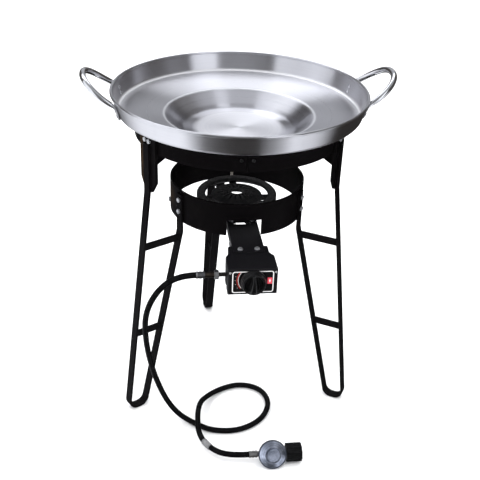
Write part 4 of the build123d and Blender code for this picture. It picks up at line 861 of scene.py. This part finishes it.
def grip_knob(steps=120):
    """Rings on the face take their depth from knob_face, and rings on the side have their own."""
    form = bmesh.new()

    def point(x, z, depth):
        return form.verts.new(Vector((x, knob_back_face - depth, knob_axis_height + z)) * mm)

    tip = point(0, 0, knob_face(0, 0))
    rings = []
    for radius, depth in [(face_ring_step * k, None) for k in range(1, face_ring_count + 1)] + knob_side:
        on_face = depth is None
        on_side = not on_face and side_rib_low < depth < side_rib_high and radius > side_rib_inside
        ring = []
        for k in range(steps):
            angle = 2 * math.pi * k / steps
            from_top = abs(math.remainder(angle - math.pi / 2, 2 * math.pi))
            rib = 1 - soft_step((from_top - rib_half_turn) / rib_soft_turn)
            wide = radius + side_rib_rise * rib * on_side
            x, z = wide * math.cos(angle), wide * math.sin(angle)
            proud = face_rib_rise * rib * soft_step((radius - face_rib_start) / face_rib_soft)
            ring.append(point(x, z, knob_face(x, z) + proud if on_face else depth))
        rings.append(ring)
    for k in range(steps):
        form.faces.new((tip, rings[0][k], rings[0][(k + 1) % steps]))
    for low, high in zip(rings, rings[1:]):
        bridge(form, low, high)
    form.faces.new(rings[-1])
    return add_piece("grip_knob", mesh_of("grip_knob", form), "knob", knob_plastic())


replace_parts(grip_knob(), "control_knob")


# Hose: out of the control box, down to the floor, round a loop and over itself to the regulator.

hose_radius = 6.35  # millimetres, as the route is
hose_route = [
    (-112, -280, 450), (-147, -280, 450), (-190, -269, 411), (-218, -252, 339), (-216, -232, 247),
    (-204, -210, 163), (-190, -197, 104), (-171, -191, 50), (-144, -203, 17), (-106, -227, 6.7),
    (-69, -252, 6.7), (-7, -257, 6.7), (51, -224, 6.7), (79, -165, 6.7), (63, -110, 6.7),
    (11, -88, 6.7), (-43, -107, 6.7), (-83, -150, 17), (-96, -192, 34), (-103, -234, 35),
    (-103, -283, 24), (-81, -321, 19), (-44, -350, 21.2), (4, -350, 21.2),
]


def hose_line(name, radius):
    line = bpy.data.curves.new(name, "CURVE")
    line.dimensions = "3D"
    spline = line.splines.new("NURBS")
    spline.points.add(len(hose_route) - 1)
    for knot, place in zip(spline.points, hose_route):
        knot.co = (place[0] * mm, place[1] * mm, place[2] * mm, 1.0)
    spline.order_u = 3
    spline.use_endpoint_u = True
    spline.resolution_u = 14
    line.bevel_depth = radius * mm
    line.bevel_resolution = 7
    return line


bare_line = bpy.data.objects.new("hose_centre", hose_line("hose_centre", 0))
scene.collection.objects.link(bare_line)
hose_points = [v.co.copy() for v in bpy.data.meshes.new_from_object(bare_line).vertices]
bpy.data.objects.remove(bare_line)

hose = add_piece("gas_hose", hose_line("gas_hose", hose_radius), "stand", rubber)
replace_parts(hose, "hose")


def nearest_on_hose(place):
    target = Vector(place) * mm
    return min(range(len(hose_points)), key=lambda k: (hose_points[k] - target).length)


def hose_sleeve():
    """A grey sleeve on the hose near its far end, with turned-in lips."""
    start, end = (-93, -300, 22), (-79, -320, 20)
    lip, wall, ripple, ripple_turn, sides = 0.35, 0.95, 0.12, 23, 28
    run = hose_points[nearest_on_hose(start):nearest_on_hose(end) + 1]
    form = bmesh.new()

    def sleeve_radius(share):
        at_lip = min(share, 1 - share) * len(run) < 0.5
        return (hose_radius + (lip if at_lip else wall) + ripple * math.sin(share * ripple_turn)) * mm

    ring_tube(form, run, sleeve_radius, sides)
    return add_piece("hose_sleeve", mesh_of("hose_sleeve", form), "stand", sleeve_grey())


sleeve = hose_sleeve()


# Cross-head screws on the heat shield and the panel, with washers under the shield's screws. In millimetres.

washer_thick, washer_edge, washer_chamfer = 0.9, 0.75, 0.35
dome = ((1.0, 0.0), (1.0, 0.35), (0.94, 0.62), (0.78, 0.85), (0.5, 0.97), (0.0, 1.0))
tip_share, tip_chamfer = 0.7, 0.6
recess_width, recess_slot, recess_depth = 1.2, 0.32, 0.9
recess_turn, recess_clear, recess_straight, recess_point = 0.5, 0.6, 0.45, 0.4


def cross_recess(form, place, width, slot, depth, top):
    """Adds the two crossed blades of a driver's tip, pointed at the bottom."""
    levels = (
        (top + recess_clear, 1.0), (top - depth * recess_straight, 1.0), (top - depth, recess_point),
    )
    for turn in (0, math.pi / 2):
        blade = place @ Matrix.Rotation(turn + recess_turn, 4, "Z")
        corners = []
        for height, share in levels:
            half_x, half_y = width / 2 * share, slot / 2
            corners.append([
                form.verts.new(blade @ (Vector((sx * half_x, sy * half_y, height)) * mm))
                for sx, sy in ((-1, -1), (1, -1), (1, 1), (-1, 1))
            ])
        close_tube(form, corners)


def cross_head_screws(name, places, axis, head, rise, shank, finish, washer=0.0):
    """Pan-head screws: each place is the middle of the head's seat, and shank is a radius and a length."""
    stem, length = shank
    lift = washer_thick if washer else 0.0
    washer_ring = [
        (stem, 0.0), (washer, 0.0), (washer, washer_edge), (washer - washer_chamfer, lift), (stem, lift)]
    screw = [(0.0, -length), (stem * tip_share, -length), (stem, -length + tip_chamfer), (stem, lift)]
    screw += [(head * across, lift + rise * up) for across, up in dome]
    body = bmesh.new()
    blades = bmesh.new()
    for place in places:
        seat = turn_to(axis, Vector(place) * mm)
        if washer:
            turned(body, washer_ring, seat)
        turned(body, screw, seat)
        cross_recess(blades, seat, head * recess_width, head * recess_slot, rise * recess_depth, lift + rise)
    mesh = cut_away(mesh_of(name, body), mesh_of(name + "_blades", blades))
    return add_piece(name, mesh, "stand", finish, smooth=False)


shield_top, shield_tip_gap = 480.0, 0.1
shield_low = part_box("shield_screws")[0]
shield_heads = cross_head_screws(
    "shield_screw_heads",
    [(-23, -107, shield_top), (23, -107, shield_top), (-17.6, -233, shield_top), (17.6, -233, shield_top)],
    axis=(0, 0, 1), head=5.5, rise=2.7, shank=(1.9, shield_top - shield_low.z / mm - shield_tip_gap),
    finish=zinc, washer=6.0)
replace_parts(shield_heads, "shield_screws")
panel_front, panel_screw_side, panel_screw_height = -311.0, 46, 471
panel_low, panel_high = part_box("panel_screws")
panel_heads = cross_head_screws(
    "panel_screw_heads",
    [(side * panel_screw_side, panel_front, panel_screw_height) for side in (-1, 1)],
    axis=(0, -1, 0), head=2.3, rise=panel_front - panel_low.y / mm,
    shank=(1.4, panel_high.y / mm - panel_front), finish=nickel_screw())
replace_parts(panel_heads, "panel_screws")


# Weld beads where the rungs meet the bars and where the bars lie on their brackets. In millimetres.

leg_turns = {"back": 98.0, "left": 210.0, "right": 330.0}
outer_bar_ends = ((236.1, 560.0), (304.0, 2.5))
inner_bar_ends = ((155.1, 444.0), (259.0, 2.5))
rung_spans, rung_corner = ((200.5, 215.5), (420.5, 435.5)), 3.1
bracket_spans, bracket_bead_radius, bracket_bead_side = ((572.0, 596.0), (634.0, 662.0)), 234.2, 10.5
bead_radius, bead_ripple, bead_ripple_turn = 1.45, 0.16, 1.15
bead_step, bead_least_steps, bead_end, bead_taper, bead_sides = 0.55, 9, 0.35, 5.0, 10


def leg_point(azimuth, radius, aside, height):
    angle = math.radians(azimuth)
    return Vector((
        radius * math.cos(angle) - aside * math.sin(angle),
        radius * math.sin(angle) + aside * math.cos(angle), height)) * mm


def bar_at(ends, height):
    """How far a leg's straight bar stands from the axis at a height; its ends are (radius, height)."""
    (top_radius, top), (foot_radius, foot) = ends
    return top_radius + (foot_radius - top_radius) / (top - foot) * (top - height)


def weld_beads(name, azimuth):
    """Rippled fillets of weld under the paint, down each rung's ends and beside the bracket's bar."""
    form = bmesh.new()
    runs = []
    for span in rung_spans:
        for aside in (-rung_corner, rung_corner):
            runs.append([(bar_at(inner_bar_ends, h) + rung_corner, aside, h) for h in span])
            runs.append([(bar_at(outer_bar_ends, h) - rung_corner, aside, h) for h in span])
    for aside in (-bracket_bead_side, bracket_bead_side):
        for span in bracket_spans:
            runs.append([(bracket_bead_radius, aside, h) for h in span])
    for start, end in runs:
        steps = max(bead_least_steps, int(abs(end[2] - start[2]) / bead_step))
        path = [
            leg_point(azimuth, *(a + (b - a) * k / steps for a, b in zip(start, end)))
            for k in range(steps + 1)
        ]

        def radius_at(share, steps=steps):
            ripple = bead_ripple * math.sin(share * steps * bead_ripple_turn)
            taper = min(1.0, bead_end + bead_taper * min(share, 1 - share))
            return (bead_radius + ripple) * taper * mm

        ring_tube(form, path, radius_at, bead_sides)
    return add_piece(name, mesh_of(name, form), "stand", enamel)


for leg, azimuth in leg_turns.items():
    weld_beads(f"weld_beads_{leg}", azimuth)


# Light: two soft lights, a sky of studio panels round the cooker and a pale floor.

def studio_sky():
    """A wide soft light over the cooker's back left, panels beside the camera and by the floor, dim between.

    Turns are degrees round from the camera's side, and z is the height of a direction.
    """
    world = bpy.data.worlds.new("studio_sky")
    world.use_nodes = True
    scene.world = world
    g = Graph(world.node_tree)
    x, y, z = g.split(g.node("ShaderNodeTexCoord", give="Generated"))
    around = g.node("ShaderNodeMath", {"operation": "ARCTAN2"}, {0: x, 1: -y}) + yaw
    turn = around.wrapped(-math.pi, math.pi) * (180 / math.pi)
    low = 1 - z.step(-0.30, -0.08)
    high = z.step(0.66, 0.86)
    from_box = abs((turn + 160).wrapped(-180.0, 180.0))
    soft_box = z.step(0.54, 0.66) * (1 - z.step(0.90, 0.97)) * (1 - from_box.step(38, 54))
    eye_panels = turn.band(-98, -33, 2) * 1.1 + turn.band(24, 50, 2) * 1.35
    low_panels = turn.band(-126, -48, 4) + turn.band(50, 92, 3)
    behind_camera = 1 - abs(turn).step(22, 28)
    back = abs(turn).step(150, 166) * z.step(0.05, 0.2)
    level = eye_panels + behind_camera * 0.14 + back * 0.42 + 0.08
    ground = low_panels * 1.25 + turn.band(-176, -128, 4) * 0.26 + 0.03
    light = ground * low + level * (1 - low) * (1 - high) + high * 0.42 + soft_box * 1.8
    warm = 1 - light.step(0.0, 0.3)
    tint = g.mix(warm, rgb(1.86, 1.90, 2.0), rgb(2.0, 1.80, 1.70))
    colour = g.mix(light * 0.5, rgb(0.0, 0.0, 0.0), tint)
    backdrop = g.node("ShaderNodeBackground", None, {"Color": colour})
    g.node("ShaderNodeOutputWorld", None, {"Surface": backdrop})


studio_sky()


def soft_light(name, place, target, size, power):
    lamp = bpy.data.lights.new(name, "AREA")
    lamp.shape = "RECTANGLE"
    lamp.size, lamp.size_y = size
    lamp.energy = power
    holder = bpy.data.objects.new(name, lamp)
    scene.collection.objects.link(holder)
    aim = (Vector(target) - Vector(place)).to_track_quat("-Z", "Y")
    holder.matrix_world = Matrix.Translation(Vector(place)) @ aim.to_matrix().to_4x4()
    holder.visible_glossy = False


soft_light("top_light", (0.0, 1.0, 5.0), (0, 1.0, 0.0), (11.0, 11.0), 860)
soft_light("front_light", (-1.7, -2.2, 1.5), (0, 0, 0.4), (1.0, 1.4), 14)


def pale_floor():
    """A plain round floor that bends up into a wall far behind the cooker. In metres."""
    reach, bend, rise, steps, sides, floor_drop = 9.0, 2.5, 7.0, 12, 96, 0.0002
    f = Finish("pale_floor")
    cloud = f.noise(1.2, 3.0)
    f.surface(
        Base_Color=f.mix(cloud, rgb(0.90, 0.90, 0.90), rgb(0.93, 0.93, 0.93)), Roughness=0.75 + cloud * 0.1,
        Specular_IOR_Level=0.1)
    form = bmesh.new()
    profile = [(0.0, 0.0), (reach, 0.0)]
    for k in range(1, steps + 1):
        angle = math.pi / 2 * k / steps
        profile.append((reach + bend * math.sin(angle), bend * (1 - math.cos(angle))))
    profile.append((reach + bend, rise))
    turned(form, [(r / mm, h / mm) for r, h in profile], Matrix.Translation((0, 0, -floor_drop)), sides)
    mesh = mesh_of("pale_floor", form)
    mesh.materials.append(f.material)
    for face in mesh.polygons:
        face.use_smooth = True
    floor = bpy.data.objects.new("pale_floor", mesh)
    scene.collection.objects.link(floor)
    floor.visible_glossy = False


pale_floor()
scene.view_settings.view_transform = "Standard"
